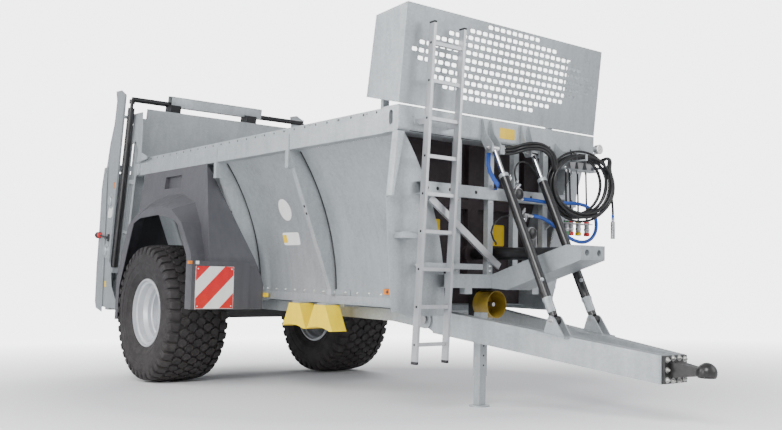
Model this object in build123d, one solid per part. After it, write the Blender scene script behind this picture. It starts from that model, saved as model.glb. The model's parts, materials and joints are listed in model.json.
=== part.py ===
from build123d import *
import math
import os

# Single-axle push-off manure spreader, in millimetres.
# Body frame while modelling: +X to the drawbar, +Y to the left, +Z up, x = 0 at the front frame,
# z = 0 under the wheels. park() then stands the machine as it parks, a little nose-down on its leg.

# ---- driving sizes ----------------------------------------------------------------------------
PARK_PITCH = 2.6          # degrees nose-down on the parking leg
WHEEL_R = 754             # tyre radius
TYRE_W = 690
TRACK_HALF = 1100         # from the middle to the middle of a tyre
AXLE_X = -4080
RIM_R = 361

FLOOR_Z = 1000            # top of the hold's floor
FLOOR_HALF = 600          # outer face of a side wall at the floor
WALL_R = 2270             # radius that flares a side wall outward
WALL_T = 5
WALL_TOP = 2355
TROUGH_FRONT = -340
LEAN = 10.5               # degrees: the rear end leans, top forward
REAR_X = -5420            # the leaning rear plane at the floor
GUIDE_T = 8               # the gate's guide strips
RAIL_TOP = 2560
RAIL_OUT = 1150
HALF_TOP = 1166           # half the width over the front frame

GAP = 6                   # running clearance between pieces that move past each other
SEAT = 0.3                # clearance of a seated joint


# ---- plain shapes -----------------------------------------------------------------------------
def block(x0, x1, y0, y1, z0, z1):
    """A box between two corners."""
    size = (abs(x1 - x0), abs(y1 - y0), abs(z1 - z0))
    return Pos((x0 + x1) / 2, (y0 + y1) / 2, (z0 + z1) / 2) * Box(*size)


def prism_y(points, y0, y1):
    """An (x, z) outline pushed along Y."""
    outline = make_face(Polyline([(x, min(y0, y1), z) for x, z in points], close=True))
    return extrude(outline, abs(y1 - y0), dir=(0, 1, 0))


def prism_x(points, x0, x1):
    """A (y, z) outline pushed along X."""
    outline = make_face(Polyline([(min(x0, x1), y, z) for y, z in points], close=True))
    return extrude(outline, abs(x1 - x0), dir=(1, 0, 0))


def rod(start, end, radius, bore=0):
    """A round bar or tube from one point to another."""
    line = Vector(*end) - Vector(*start)
    plane = Plane(origin=start, z_dir=line)
    solid = Cylinder(radius, line.length, align=(Align.CENTER, Align.CENTER, Align.MIN))
    if bore:
        solid -= Cylinder(bore, line.length, align=(Align.CENTER, Align.CENTER, Align.MIN))
    return plane * solid


def rod_y(x, z, y0, y1, radius, bore=0):
    return rod((x, min(y0, y1), z), (x, max(y0, y1), z), radius, bore)


def channel(x0, x1, y0, y1, z0, z1, wall, open_side):
    """A bent U section along X or Y, open on the named side."""
    solid = block(x0, x1, y0, y1, z0, z1)
    inner = {
        "+y": (x0 - 1, x1 + 1, y0 + wall, y1 + 1, z0 + wall, z1 - wall),
        "-y": (x0 - 1, x1 + 1, y0 - 1, y1 - wall, z0 + wall, z1 - wall),
        "+x": (x0 + wall, x1 + 1, y0 - 1, y1 + 1, z0 + wall, z1 - wall),
        "-x": (x0 - 1, x1 - wall, y0 - 1, y1 + 1, z0 + wall, z1 - wall),
        "+z": (x0 - 1, x1 + 1, y0 + wall, y1 - wall, z0 + wall, z1 + 1),
        "-z": (x0 - 1, x1 + 1, y0 + wall, y1 - wall, z0 - 1, z1 - wall),
    }[open_side]
    return solid - block(*inner)


def mirror_y(solid):
    return mirror(solid, about=Plane.XZ)


def join(pieces):
    """One compound of solids, fused where they touch."""
    result = pieces[0]
    for piece in pieces[1:]:
        result = result + piece
    return result


NODES = {}


def node(name, solid):
    NODES[name] = solid


# ---- the hold: two flared side walls and a floor ------------------------------------------------
def wall_y(z, offset=0):
    """How far out a side wall's outer face is at height z, moved outward by offset."""
    rise = max(0, z - FLOOR_Z)
    return FLOOR_HALF + WALL_R - math.sqrt((WALL_R - offset) ** 2 - rise ** 2)


def wall_arc(x, z_low, z_high, offset=0):
    """The (y, z) line of a side wall between two heights, as an edge in the plane x."""
    z_mid = (z_low + z_high) / 2
    points = [(x, wall_y(z, offset), z) for z in (z_low, z_mid, z_high)]
    return ThreePointArc(*points)


def rear_x(z):
    """The leaning rear plane at height z."""
    return REAR_X + (z - FLOOR_Z) * math.tan(math.radians(LEAN))


def cut_rear(solid, y_half=1500):
    """Trim a piece just ahead of the leaning rear plane, where the gate's guide starts."""
    ahead = GUIDE_T + SEAT
    low, high = rear_x(0) + ahead, rear_x(4000) + ahead
    behind = prism_y([(low, 0), (high, 4000), (-8000, 4000), (-8000, 0)], -y_half, y_half)
    return solid - behind


SILL_Z = 965
FLOOR_T = 6


def side_wall():
    """Left wall: a plate that stands on the sill and flares outward, cut to the leaning rear."""
    outer = wall_arc(WALL_FRONT, FLOOR_Z, WALL_TOP)
    inner = wall_arc(WALL_FRONT, FLOOR_Z, WALL_TOP, -WALL_T)
    low_out = (WALL_FRONT, FLOOR_HALF, SILL_Z)
    low_in = (WALL_FRONT, FLOOR_HALF - WALL_T, SILL_Z)
    edges = [
        outer, inner,
        Line(outer @ 1, inner @ 1), Line(inner @ 0, low_in), Line(low_in, low_out), Line(low_out, outer @ 0),
    ]
    return cut_rear(extrude(make_face(edges), 5600, dir=(-1, 0, 0)))


WALL_FRONT = -70
RAIL_IN = 1049
RAIL_Z0 = 2355
RAIL_H = 150
RAIL_WALL = 6
RAIL_FRONT = -190
STRIP_T = 12
STRIP_IN = 16              # how far the strip stands in from the rail's outer face


def top_rail():
    """Left rail: a box beam with the bolted strip along its top."""
    rear = rear_x(RAIL_Z0) - 50
    beam = block(rear, RAIL_FRONT, RAIL_IN, RAIL_OUT, RAIL_Z0, RAIL_Z0 + RAIL_H)
    beam -= block(rear - 1, RAIL_FRONT + 1, RAIL_IN + RAIL_WALL, RAIL_OUT - RAIL_WALL,
                  RAIL_Z0 + RAIL_WALL, RAIL_Z0 + RAIL_H - RAIL_WALL)
    strip_out = RAIL_OUT - STRIP_IN
    strip = block(rear, RAIL_FRONT, strip_out - STRIP_T, strip_out, RAIL_Z0 + RAIL_H, RAIL_TOP)
    foot = block(rear, RAIL_FRONT, RAIL_IN + 12, strip_out, RAIL_Z0 + RAIL_H, RAIL_Z0 + RAIL_H + 8)
    holes = [rod_y(x, RAIL_TOP - 22, RAIL_OUT - 60, RAIL_OUT, 7) for x in range(-450, -5050, -420)]
    return cut_rear(beam + strip + foot - holes)


SILL_OUT = 640
SILL_T = 6


def sill():
    """Left sill: a folded strip under the wall's foot, bolted through it."""
    upright = block(-5600, WALL_FRONT, FLOOR_HALF + SEAT, FLOOR_HALF + SILL_T, SILL_Z, 1035)
    lip = block(-5600, WALL_FRONT, FLOOR_HALF - WALL_T, SILL_OUT, SILL_Z - SILL_T, SILL_Z)
    return cut_rear(upright + lip)


RIB_X = (-1600, -3000, -4400)
RIB_TOP_Y = 1150
RIB_FOOT = (646, 1092)


RIB_T = 6


def rib_outer_y(z, clear=0):
    """How far out the rib's straight flange reaches at height z."""
    rise = (z - RIB_FOOT[1]) / (RAIL_Z0 - RIB_FOOT[1])
    slant = math.hypot(RIB_TOP_Y - RIB_FOOT[0], RAIL_Z0 - RIB_FOOT[1]) / (RAIL_Z0 - RIB_FOOT[1])
    return RIB_FOOT[0] + (RIB_TOP_Y - RIB_FOOT[0]) * rise + (RIB_T + clear) * slant


def rib(x):
    """Left rib: a web between the wall and its straight outer flange."""
    foot_z, z_top = RIB_FOOT[1], RAIL_Z0
    arc = wall_arc(x, foot_z, z_top, SEAT)
    web_edges = [
        arc,
        Line(arc @ 1, (x, RIB_TOP_Y, z_top)),
        Line((x, RIB_TOP_Y, z_top), (x, RIB_FOOT[0], foot_z)),
        Line((x, RIB_FOOT[0], foot_z), arc @ 0),
    ]
    web = extrude(make_face(web_edges), RIB_T, dir=(1, 0, 0))
    flange = prism_x([
        (RIB_TOP_Y, z_top), (RIB_FOOT[0], foot_z), (rib_outer_y(foot_z), foot_z), (rib_outer_y(z_top), z_top),
    ], x - RIB_W, x + RIB_T)
    foot = prism_x([
        (wall_y(1037, SEAT), 1037), (RIB_FOOT[0] + 6, 1037), (RIB_FOOT[0] + 6, foot_z),
        (wall_y(foot_z, SEAT), foot_z),
    ], x - RIB_W, x + RIB_T)
    return web + flange + foot


RIB_W = 54
SOCKET_Z = (2190, 2495)
SOCKET_T = 8
RIBS_WITH_SOCKET = 2       # the rib inside the mudguard has none


def rail_socket(x):
    """Left folded socket that ties a rib's head to the rail's outer face."""
    low, high = SOCKET_Z
    y0, y1 = RAIL_OUT + SEAT, RAIL_OUT + SEAT + SOCKET_T
    outline = [(y0, high), (y1, high), (y1, low), (rib_outer_y(low), low), (rib_outer_y(RAIL_Z0), RAIL_Z0),
               (y0, RAIL_Z0)]
    socket = prism_x(outline, x - RIB_W, x)
    return socket - block(x - RIB_W + SOCKET_T, x - SOCKET_T, 0, RAIL_OUT + SEAT, 0, RAIL_Z0 - 20)


def ribs():
    sockets = [rail_socket(x) for x in RIB_X[:RIBS_WITH_SOCKET]]
    return Compound([rib(x) for x in RIB_X]) + sockets


def floor():
    edge = FLOOR_HALF - WALL_T - SEAT
    return cut_rear(block(-5600, TROUGH_FRONT, -edge, edge, FLOOR_Z - FLOOR_T, FLOOR_Z))


# ---- chassis, axle and wheels -------------------------------------------------------------------
RAIL_Y = 398               # middle of a chassis rail, in line with the drawbar's rear end
CHASSIS_Z0 = 830
CHASSIS_Z1 = 934
CHASSIS_W = 80
HINGE_X = -480
HINGE_Z = 868
HINGE_PIN_R = 25
CHEEK_T = 18
EYE_W = 60
CROSS_X = (-700, -1500, -2300, -3100, -3500, -4650, -5250)
BEAM_X0, BEAM_X1 = -5430, -5366   # rear cross beam
BEAM_Z = (880, 955)
NOTCH_X = -5190            # the rails are cut away from below behind here, over the discs


def chassis_rail():
    """Left box rail with the two cheeks that hold the drawbar's pin."""
    y = RAIL_Y
    rear = BEAM_X1 + SEAT
    rail = block(rear, -620, y - CHASSIS_W / 2, y + CHASSIS_W / 2, CHASSIS_Z0, CHASSIS_Z1)
    rail -= block(rear - 1, -700, y - CHASSIS_W / 2 + 6, y + CHASSIS_W / 2 - 6, CHASSIS_Z0 + 6, CHASSIS_Z1 - 6)
    rail -= block(rear - 1, NOTCH_X, y - CHASSIS_W, y + CHASSIS_W, 0, BEAM_Z[0] + 4)
    solid = rail
    for sign in (1, -1):
        inner = y + sign * (EYE_W / 2 + 1)
        outer = inner + sign * CHEEK_T
        cheek = prism_y([
            (-900, CHASSIS_Z0), (HINGE_X, HINGE_Z - 75), (HINGE_X, HINGE_Z + 75), (-560, CHASSIS_Z1),
            (-900, CHASSIS_Z1),
        ], inner, outer)
        cheek += rod_y(HINGE_X, HINGE_Z, inner, outer, 75)
        solid = solid + cheek
    solid -= block(HINGE_X - 130, 0, y - EYE_W / 2 - 1, y + EYE_W / 2 + 1, 0, 1200)
    return solid - rod_y(HINGE_X, HINGE_Z, 0, 800, HINGE_PIN_R + SEAT)


def cross_bearers():
    """Bearers between the side walls that carry the floor on the rails."""
    half = FLOOR_HALF - WALL_T - SEAT
    return Compound([block(x - 40, x + 40, -half, half, CHASSIS_Z1, FLOOR_Z - FLOOR_T) for x in CROSS_X])


def hinge_pins():
    pins = []
    for side in (1, -1):
        y0 = side * (RAIL_Y - EYE_W / 2 - CHEEK_T - 12)
        y1 = side * (RAIL_Y + EYE_W / 2 + CHEEK_T + 12)
        pin = rod_y(HINGE_X, HINGE_Z, y0, y1, HINGE_PIN_R)
        cap = rod_y(HINGE_X, HINGE_Z, y1, y1 + side * 10, HINGE_PIN_R + 10)
        pins.append(pin + cap)
    return Compound(pins)


AXLE_SIDE = 130
HUB_R = 110
STUB_R = 45


def axle():
    half = AXLE_SIDE / 2
    beam = block(AXLE_X - half, AXLE_X + half, -TRACK_HALF + 130, TRACK_HALF - 130, WHEEL_R - half, WHEEL_R + half)
    return beam + rod_y(AXLE_X, WHEEL_R, -TRACK_HALF - 90, TRACK_HALF + 90, STUB_R)


SPRING_Y = 490
SPRING_TOP = 905


def springs():
    """Leaf springs clamped on the axle, with hangers on the chassis rails."""
    solids = []
    base = WHEEL_R + AXLE_SIDE / 2
    for side in (1, -1):
        y0, y1 = side * (SPRING_Y - 40), side * (SPRING_Y + 40)
        pack = prism_y([
            (AXLE_X - 90, base), (AXLE_X + 90, base), (AXLE_X + 90, base + 36),
            (AXLE_X + 520, base + 70), (AXLE_X + 520, base + 84), (AXLE_X, base + 60),
            (AXLE_X - 520, base + 84), (AXLE_X - 520, base + 70), (AXLE_X - 90, base + 36),
        ], y0, y1)
        for x in (AXLE_X - 520, AXLE_X + 520):
            hanger = prism_y([
                (x - 45, base + 60), (x + 45, base + 60), (x + 70, CHASSIS_Z1), (x - 70, CHASSIS_Z1),
            ], side * (RAIL_Y + CHASSIS_W / 2), side * (SPRING_Y + 50))
            pack = pack + hanger
        solids.append(pack)
    return Compound(solids)


def ring_profile(points, y):
    """A turned ring about a wheel's axis; points are (radius, offset along the axle)."""
    outline = make_face(Polyline([(AXLE_X + r, y + offset, WHEEL_R) for r, offset in points], close=True))
    return revolve(outline, axis=Axis((AXLE_X, 0, WHEEL_R), (0, 1, 0)))


def tyre(side):
    """A wide flotation tyre: beads, bulging sides and a flat crown round an air space."""
    half = TYRE_W / 2
    outer = [
        (RIM_R, half - 45), (RIM_R + 60, half - 10), (RIM_R + 190, half), (WHEEL_R - 90, half - 10),
        (WHEEL_R - 28, half - 42), (WHEEL_R, half - 100),
    ]
    inner = [
        (RIM_R, half - 75), (RIM_R + 70, half - 32), (RIM_R + 190, half - 18), (WHEEL_R - 100, half - 34),
        (WHEEL_R - 52, half - 110),
    ]
    ring = ring_profile(outer + [(r, -o) for r, o in reversed(outer)], side * TRACK_HALF)
    air = [(RIM_R - 1, half - 75)] + inner
    return ring - ring_profile(air + [(r, -o) for r, o in reversed(air)], side * TRACK_HALF)


RIM_T = 9
RIM_DISC = 60              # how far the wheel disc sits inside the rim's outer edge, from the middle


def rim(side):
    """A one-piece rim: flanges, stepped well and a dished disc with a hub bore."""
    half = TYRE_W / 2
    r = RIM_R - SEAT
    points = [
        (r, half - 43), (r, half - 80), (r - 26, half - 90), (r - 34, half - 150), (r - 66, half - 190),
    ]
    outer = points + [(a, -b) for a, b in reversed(points)]
    inner = [(a - RIM_T, b) for a, b in outer]
    drum = ring_profile([(a, side * b) for a, b in outer + inner[::-1]], side * TRACK_HALF)
    disc = ring_profile([
        (r - 66, side * 40), (r - 96, side * 52), (HUB_R + 30, side * 60), (HUB_R - 1, side * 44),
        (HUB_R - 1, side * 32), (HUB_R + 30, side * 48), (r - 96, side * 40), (r - 66, side * 28),
    ], side * TRACK_HALF)
    return drum + disc


def wheel(side):
    """The rim welded to its hub."""
    bore = STUB_R + SEAT
    hub = ring_profile([
        (bore, -side * 60), (HUB_R - 20, -side * 60), (HUB_R - 20, side * 20), (HUB_R, side * 20),
        (HUB_R, side * 44), (HUB_R - 30, side * 44), (HUB_R - 40, side * 96), (bore, side * 96),
    ], side * TRACK_HALF)
    return rim(side) + hub


# ---- front frame ----------------------------------------------------------------------------
BEAM_Z0 = WALL_TOP
BEAM_DEPTH = 190
LUG_Y = 230
LUG_PIN = (100, 2300)      # where the drawbar cylinders' rods are pinned


def front_top_beam():
    """The bent top beam with its corner heads and two pairs of cylinder lugs."""
    beam = block(-BEAM_DEPTH, 0, -HALF_TOP, HALF_TOP, BEAM_Z0, RAIL_TOP)
    beam = fillet(beam.edges().filter_by(Axis.Y).group_by(Axis.Z)[0].sort_by(Axis.X)[-1:], 35)
    beam -= block(-BEAM_DEPTH - 1, -8, -HALF_TOP + 120, HALF_TOP - 120, BEAM_Z0 + 8, RAIL_TOP - 8)
    for side in (1, -1):
        slot = SlotCenterToCenter(70, 46, rotation=90)
        cut = extrude(Plane.XZ * slot, 80, both=True)
        beam -= Pos(-95, side * (HALF_TOP - 40), (BEAM_Z0 + RAIL_TOP) / 2 + 10) * cut
        for offset in (-48, 48):
            y = side * LUG_Y + offset
            lug = prism_y([
                (0, RAIL_TOP - 12), (18, RAIL_TOP - 12), (60, 2420), (LUG_PIN[0] + 34, LUG_PIN[1] + 30),
                (LUG_PIN[0] + 34, LUG_PIN[1] - 34), (LUG_PIN[0] - 30, LUG_PIN[1] - 34), (0, BEAM_Z0 + 20),
            ], y - 7, y + 7)
            lug -= rod_y(LUG_PIN[0], LUG_PIN[1], y - 8, y + 8, 15 + SEAT)
            beam += lug
    return beam


FRAME_X0 = -62             # back of the front frame's posts and beams
POST_Y = (150, 520)
POST_W = 60
STEP_Z = (1150, 1262)
MID_Z = (1885, 1985)
MID_HALF = 925


def front_posts():
    """Upright posts under the top beam, and short struts down to the chassis."""
    solids = []
    for y in POST_Y:
        for side in (1, -1):
            solids.append(block(FRAME_X0, -10, side * y - POST_W / 2, side * y + POST_W / 2, STEP_Z[1], BEAM_Z0))
    posts = Compound(solids)
    return posts - block(-100, 100, -2000, 2000, MID_Z[0], MID_Z[1])


def front_beams():
    """The two open channels that cross the posts."""
    middle = channel(FRAME_X0, 0, -MID_HALF, MID_HALF, MID_Z[0], MID_Z[1], 6, "-x")
    for y in (-750, -330, 330, 750):
        middle -= rod((-100, y, 1935), (100, y, 1935), 16)
    low = channel(FRAME_X0, 0, -660, 660, STEP_Z[0], STEP_Z[1], 6, "-x")
    for side in (1, -1):
        low += block(FRAME_X0, 0, side * RAIL_Y - 40, side * RAIL_Y + 40, 1100, STEP_Z[0])
    return Compound([middle, low])


def corner_plate(outline):
    """A left corner plate from the wall's front edge out to an outline of (y, z) points, top first."""
    x = WALL_FRONT + SEAT
    arc = wall_arc(x, 1080, BEAM_Z0)
    points = [(x, y, z) for y, z in outline]
    edges = [arc, Line(arc @ 1, points[0])]
    edges += [Line(a, b) for a, b in zip(points, points[1:])]
    edges.append(Line(points[-1], arc @ 0))
    return extrude(make_face(edges), CORNER_T, dir=(1, 0, 0))


CORNER_T = 7
LEFT_CORNER = ((1120, BEAM_Z0), (660, 960), (600.3, 960), (600.3, 1080))
RIGHT_CORNER = ((1166, BEAM_Z0), (1220, 1830), (1150, 1000), (1138, 959), (1073, 959), (989, 925),
                (600.3, 925), (600.3, 1080))


def corner_brace():
    """Right corner: the bolted gusset under the post head and the bracket that carries the ladder."""
    x0, x1 = WALL_FRONT + SEAT + CORNER_T, -2
    gusset = prism_x([(-1166, BEAM_Z0), (-1100, BEAM_Z0), (-1196, 1850), (-1215, 1850)], x0, x1)
    arm = block(x0, LADDER_FOOT_X, -1130, LADDER_Y + STILE[1] / 2, 1530, 1570)
    return gusset + arm


# ---- push wall with its headboard, and the telescopic push cylinder ----------------------------
PUSH_X = -440              # back face of the push wall at rest
PUSH_T = 60
PUSH_STROKE = 4520
CYL_Z = 1440
STAGE_R = (52, 44, 36, 28, 20)
CYL_FRONT = 860
CYL_REAR = PUSH_X + PUSH_T + 30


def push_wall():
    """A framed wall that fills the hold's section, with posts that carry the headboard."""
    low, high = FLOOR_Z + GAP, RAIL_TOP + 10
    arc = wall_arc(PUSH_X, low, WALL_TOP, -WALL_T - GAP)
    other = wall_arc(PUSH_X, low, WALL_TOP, -WALL_T - GAP)
    top_y = (arc @ 1).Y
    half = [
        arc, Line(arc @ 1, (PUSH_X, top_y, high)), Line((PUSH_X, top_y, high), (PUSH_X, 0, high)),
        Line((PUSH_X, 0, high), (PUSH_X, 0, low)), Line((PUSH_X, 0, low), arc @ 0),
    ]
    right = extrude(make_face(half), PUSH_T, dir=(1, 0, 0))
    skin = right + mirror_y(right)
    pocket = block(PUSH_X + 8, PUSH_X + PUSH_T + 1, 60, 540, 1120, 1830)
    upper = block(PUSH_X + 8, PUSH_X + PUSH_T + 1, 60, 640, 1910, 2480)
    for cut in (pocket, upper):
        skin = skin - cut - mirror_y(cut)
    seat = rod((PUSH_X + 8, 0, CYL_Z), (PUSH_X + PUSH_T, 0, CYL_Z), 90)
    return skin + seat


HEAD_TOP = 3345
HEAD_LEAN = 86
HEAD_Z0 = RAIL_TOP + 10
HEAD_T = 5
CHEEK_LEN = 400


SLOT_OUT, SLOT_H = 27, 14  # half the length and half the height of a slot
SLOT_PITCH = 71
SLOT_ROWS = (              # height along the board, middle of the first slot from the right, how many
    (128, -486, 12), (186, -712, 18), (249, -830, 22), (309, -872, 25), (370, -992, 29), (432, -1058, 31),
    (496, -987, 29), (557, -835, 25), (618, -693, 21), (676, -467, 15), (740, -268, 9),
)


def slot_outline(y, z):
    """A slot's six-sided outline in the plane of the board."""
    flat = SLOT_OUT - SLOT_H
    points = [(-SLOT_OUT, 0), (-flat, SLOT_H), (flat, SLOT_H), (SLOT_OUT, 0), (flat, -SLOT_H), (-flat, -SLOT_H)]
    return Polyline([(-HEAD_T, y + a, z + b) for a, b in points], close=True)


def headboard():
    """The perforated board over the front beam, leaning forward."""
    rise = HEAD_TOP - HEAD_Z0
    edge = HALF_TOP - HEAD_T - SEAT
    length = math.hypot(HEAD_LEAN, rise)
    rim_line = Polyline([(-HEAD_T, -edge, 0), (-HEAD_T, edge, 0), (-HEAD_T, edge, length), (-HEAD_T, -edge, length)],
                        close=True)
    slots = []
    for height, first_y, count in SLOT_ROWS:
        for column in range(count):
            slots.append(Wire(slot_outline(first_y + column * SLOT_PITCH, height)))
    sheet = Face(Wire(rim_line), slots)
    board = extrude(sheet, HEAD_T, dir=(1, 0, 0))
    angle = math.degrees(math.atan2(HEAD_LEAN, rise))
    return Pos(0, 0, HEAD_Z0) * Rot(0, angle, 0) * board


def head_cheek():
    """Left cheek of the headboard with the foot that stands on the push wall."""
    y0, y1 = HALF_TOP - HEAD_T, HALF_TOP
    cheek = prism_y([
        (0, HEAD_Z0), (HEAD_LEAN, HEAD_TOP), (HEAD_LEAN - CHEEK_LEN, HEAD_TOP - 25),
        (PUSH_X + 20, HEAD_Z0 + 100),
    ], y0, y1)
    shelf = block(PUSH_X + 20, PUSH_X + PUSH_T, 960, y1, HEAD_Z0 + 100, HEAD_Z0 + 106)
    post = block(PUSH_X + 20, PUSH_X + PUSH_T, 960, 1020, HEAD_Z0, HEAD_Z0 + 106)
    return cheek + shelf + post


def push_barrel():
    """The telescopic cylinder's barrel, closed at its front."""
    barrel = rod((CYL_REAR, 0, CYL_Z), (CYL_FRONT, 0, CYL_Z), STAGE_R[0], STAGE_R[1] + SEAT)
    return barrel + rod((CYL_FRONT - 30, 0, CYL_Z), (CYL_FRONT, 0, CYL_Z), STAGE_R[0])


def push_stage(index):
    """One drawn tube of the telescopic cylinder, closed at its front; the last is a solid rod."""
    last = index == len(STAGE_R) - 1
    rear = PUSH_X + PUSH_T if last else CYL_REAR - 6 * index
    front = CYL_FRONT - 30 - 10 * index
    bore = 0 if last else STAGE_R[index + 1] + SEAT
    tube = rod((rear, 0, CYL_Z), (front, 0, CYL_Z), STAGE_R[index], bore)
    if bore:
        tube += rod((front - 8, 0, CYL_Z), (front, 0, CYL_Z), STAGE_R[index])
    return tube


BOX_HALF = 140
BOX_T = 8
BOX_FRONT = 945


def cylinder_box():
    """The rising box ahead of the frame that carries the push cylinder's front eye."""
    outline = [(0, 1150), (170, 1140), (BOX_FRONT, 1390), (BOX_FRONT, 1500), (800, 1505), (440, 1400), (0, 1262)]
    box = prism_y(outline, -BOX_HALF, BOX_HALF)
    hollow = [(-1, 1158), (170, 1148), (BOX_FRONT - 20, 1392), (BOX_FRONT - 20, 1520), (440, 1600), (-1, 1600)]
    box -= prism_y(hollow, -BOX_HALF + BOX_T, BOX_HALF - BOX_T)
    for y in (-70, 70):
        box -= rod((BOX_FRONT - 40, y, 1445), (BOX_FRONT + 1, y, 1445), 24)
    bracket = block(CYL_FRONT, BOX_FRONT - 20, -60, 60, 1405, 1475)
    return box + bracket


# ---- ladder ------------------------------------------------------------------------------------
LADDER_X_TOP, LADDER_X_LOW = 136, -7
LADDER_Y = -974
LADDER_W = 312
LADDER_Z0 = 566
RUNG_PITCH = 291
RUNGS = 9
STILE = (60, 25)


LADDER_TOP = LADDER_Z0 + RUNG_PITCH * RUNGS + 20
LADDER_SLOPE = (LADDER_X_TOP - LADDER_X_LOW) / (LADDER_TOP - LADDER_Z0)
BRACKET_Z = 2440


def ladder_x(z):
    """Back face of the ladder's stiles at height z."""
    return LADDER_X_LOW + LADDER_SLOPE * (z - LADDER_Z0)


LADDER_FOOT_X = ladder_x(1530) - SEAT


def ladder():
    """Two box stiles, nine square rungs and the brackets that hold them off the top beam."""
    pieces = []
    for y in (LADDER_Y, LADDER_Y + LADDER_W):
        pieces.append(prism_y([
            (LADDER_X_LOW, LADDER_Z0), (LADDER_X_LOW + STILE[0], LADDER_Z0),
            (LADDER_X_TOP + STILE[0], LADDER_TOP), (LADDER_X_TOP, LADDER_TOP),
        ], y - STILE[1] / 2, y + STILE[1] / 2))
        pieces.append(block(SEAT, ladder_x(BRACKET_Z) + 10, y - 10, y + 10, BRACKET_Z - 25, BRACKET_Z + 25))
    for index in range(RUNGS):
        z = LADDER_Z0 + RUNG_PITCH * (index + 0.5)
        x = ladder_x(z) + STILE[0] / 2
        pieces.append(block(x - 15, x + 15, LADDER_Y, LADDER_Y + LADDER_W, z - 14, z + 14))
    return join(pieces)


# ---- drawbar, its cylinders, coupling and parking leg -----------------------------------------
DRAW_FRONT = 1630
DRAW_FRONT_HALF = 140
DRAW_REAR_HALF = 448
DRAW_FRONT_Z = 641
DRAW_H = 196
DRAW_W = 100
SADDLE_X = 775
SADDLE_PIN_UP = 197        # height of the saddle's pin over the beam's middle


def draw_z(x):
    """The height of the drawbar's middle at x."""
    return HINGE_Z + (DRAW_FRONT_Z - HINGE_Z) * (x - HINGE_X) / (DRAW_FRONT - HINGE_X)


def draw_y(x):
    """How far out a drawbar beam's middle is at x."""
    share = (x - HINGE_X) / (DRAW_FRONT - HINGE_X)
    return DRAW_REAR_HALF + (DRAW_FRONT_HALF - DRAW_REAR_HALF) * share - DRAW_W / 2


def saddle_pin():
    return SADDLE_X, draw_z(SADDLE_X) + SADDLE_PIN_UP


def draw_beam():
    """Left beam: a box section from its hinge eye to the front plate."""
    start = HINGE_X + 90
    sections = []
    for x in (start, DRAW_FRONT):
        y, z = draw_y(x), draw_z(x)
        sections.append(Plane(origin=(x, y, z), z_dir=(1, 0, 0), x_dir=(0, 1, 0)) * Rectangle(DRAW_W, DRAW_H))
    beam = loft(sections)
    nose = prism_y([
        (HINGE_X, HINGE_Z + 62), (start + 2, draw_z(start) + 90), (start + 2, draw_z(start) - 90), (HINGE_X, HINGE_Z - 62),
    ], RAIL_Y - EYE_W / 2, RAIL_Y + EYE_W / 2)
    eye = rod_y(HINGE_X, HINGE_Z, RAIL_Y - EYE_W / 2, RAIL_Y + EYE_W / 2, 62)
    beam = beam + nose + eye - rod_y(HINGE_X, HINGE_Z, 0, 800, HINGE_PIN_R + SEAT)
    return beam


def saddle():
    """Left saddle: a seat bent over the beam and two ears for the cylinder's pin."""
    x, z = saddle_pin()
    y = LUG_Y
    top = draw_z(SADDLE_X) + DRAW_H / 2
    ears = []
    for offset in (-42, 42):
        ear = prism_y([
            (x - 75, top - 8), (x + 130, top - 22), (x + 30, z + 20), (x + 10, z + 34), (x - 20, z + 34), (x - 34, z + 10),
        ], y + offset - 6, y + offset + 6)
        ear -= rod_y(x, z, y + offset - 8, y + offset + 8, 15 + SEAT)
        ears.append(ear)
    seat = prism_y([(x - 130, top + 12), (x + 150, top - 18), (x + 150, top - 30), (x - 130, top)], y - 70, y + 70)
    return join([seat] + ears)


def drawbar():
    """Both beams with their saddles, the cross tie and the front plate."""
    left = draw_beam() + saddle()
    plate = block(DRAW_FRONT, DRAW_FRONT + 18, -DRAW_FRONT_HALF, DRAW_FRONT_HALF,
                  DRAW_FRONT_Z - DRAW_H / 2, DRAW_FRONT_Z + DRAW_H / 2)
    tie_x = 250
    tie = block(tie_x - 40, tie_x + 40, -draw_y(tie_x), draw_y(tie_x), draw_z(tie_x) - 60, draw_z(tie_x) + 20)
    return left + mirror_y(left) + plate + tie


BALL_R = 40


def coupling():
    """A bolted flange with a neck and a ball socket for an 80 mm hitch ball."""
    front = DRAW_FRONT + 18
    flange = block(front, front + 22, -130, 130, DRAW_FRONT_Z - 95, DRAW_FRONT_Z + 95)
    neck = loft([
        Plane(origin=(front + 20, 0, DRAW_FRONT_Z), z_dir=(1, 0, 0), x_dir=(0, 1, 0)) * Rectangle(130, 110),
        Plane(origin=(front + 210, 0, DRAW_FRONT_Z), z_dir=(1, 0, 0), x_dir=(0, 1, 0)) * Rectangle(70, 56),
    ])
    bell = Pos(front + 260, 0, DRAW_FRONT_Z) * Sphere(68)
    bell -= block(front, front + 400, -100, 100, DRAW_FRONT_Z - 100, DRAW_FRONT_Z - 34)
    body = flange + neck + bell
    return body - Pos(front + 260, 0, DRAW_FRONT_Z - 22) * Sphere(BALL_R + 0.5)


JACK_X = -20
JACK_Y = -235
JACK_OUT = 80
JACK_IN = 69.4
JACK_SPLIT = 430


def ground_z(x):
    """The ground's height in the body frame, for the pitch at which the machine parks."""
    return (x - AXLE_X) * math.tan(math.radians(PARK_PITCH)) + WHEEL_R * (1 - 1 / math.cos(math.radians(PARK_PITCH)))


def jack_sleeve():
    """The leg's outer tube, bolted to the inner face of the right drawbar beam."""
    half = JACK_OUT / 2
    top = draw_z(JACK_X) + 130
    tube = block(JACK_X - half, JACK_X + half, JACK_Y - half, JACK_Y + half, JACK_SPLIT, top)
    tube -= block(JACK_X - half + 5, JACK_X + half - 5, JACK_Y - half + 5, JACK_Y + half - 5, JACK_SPLIT - 1, top - 6)
    return tube


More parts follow.
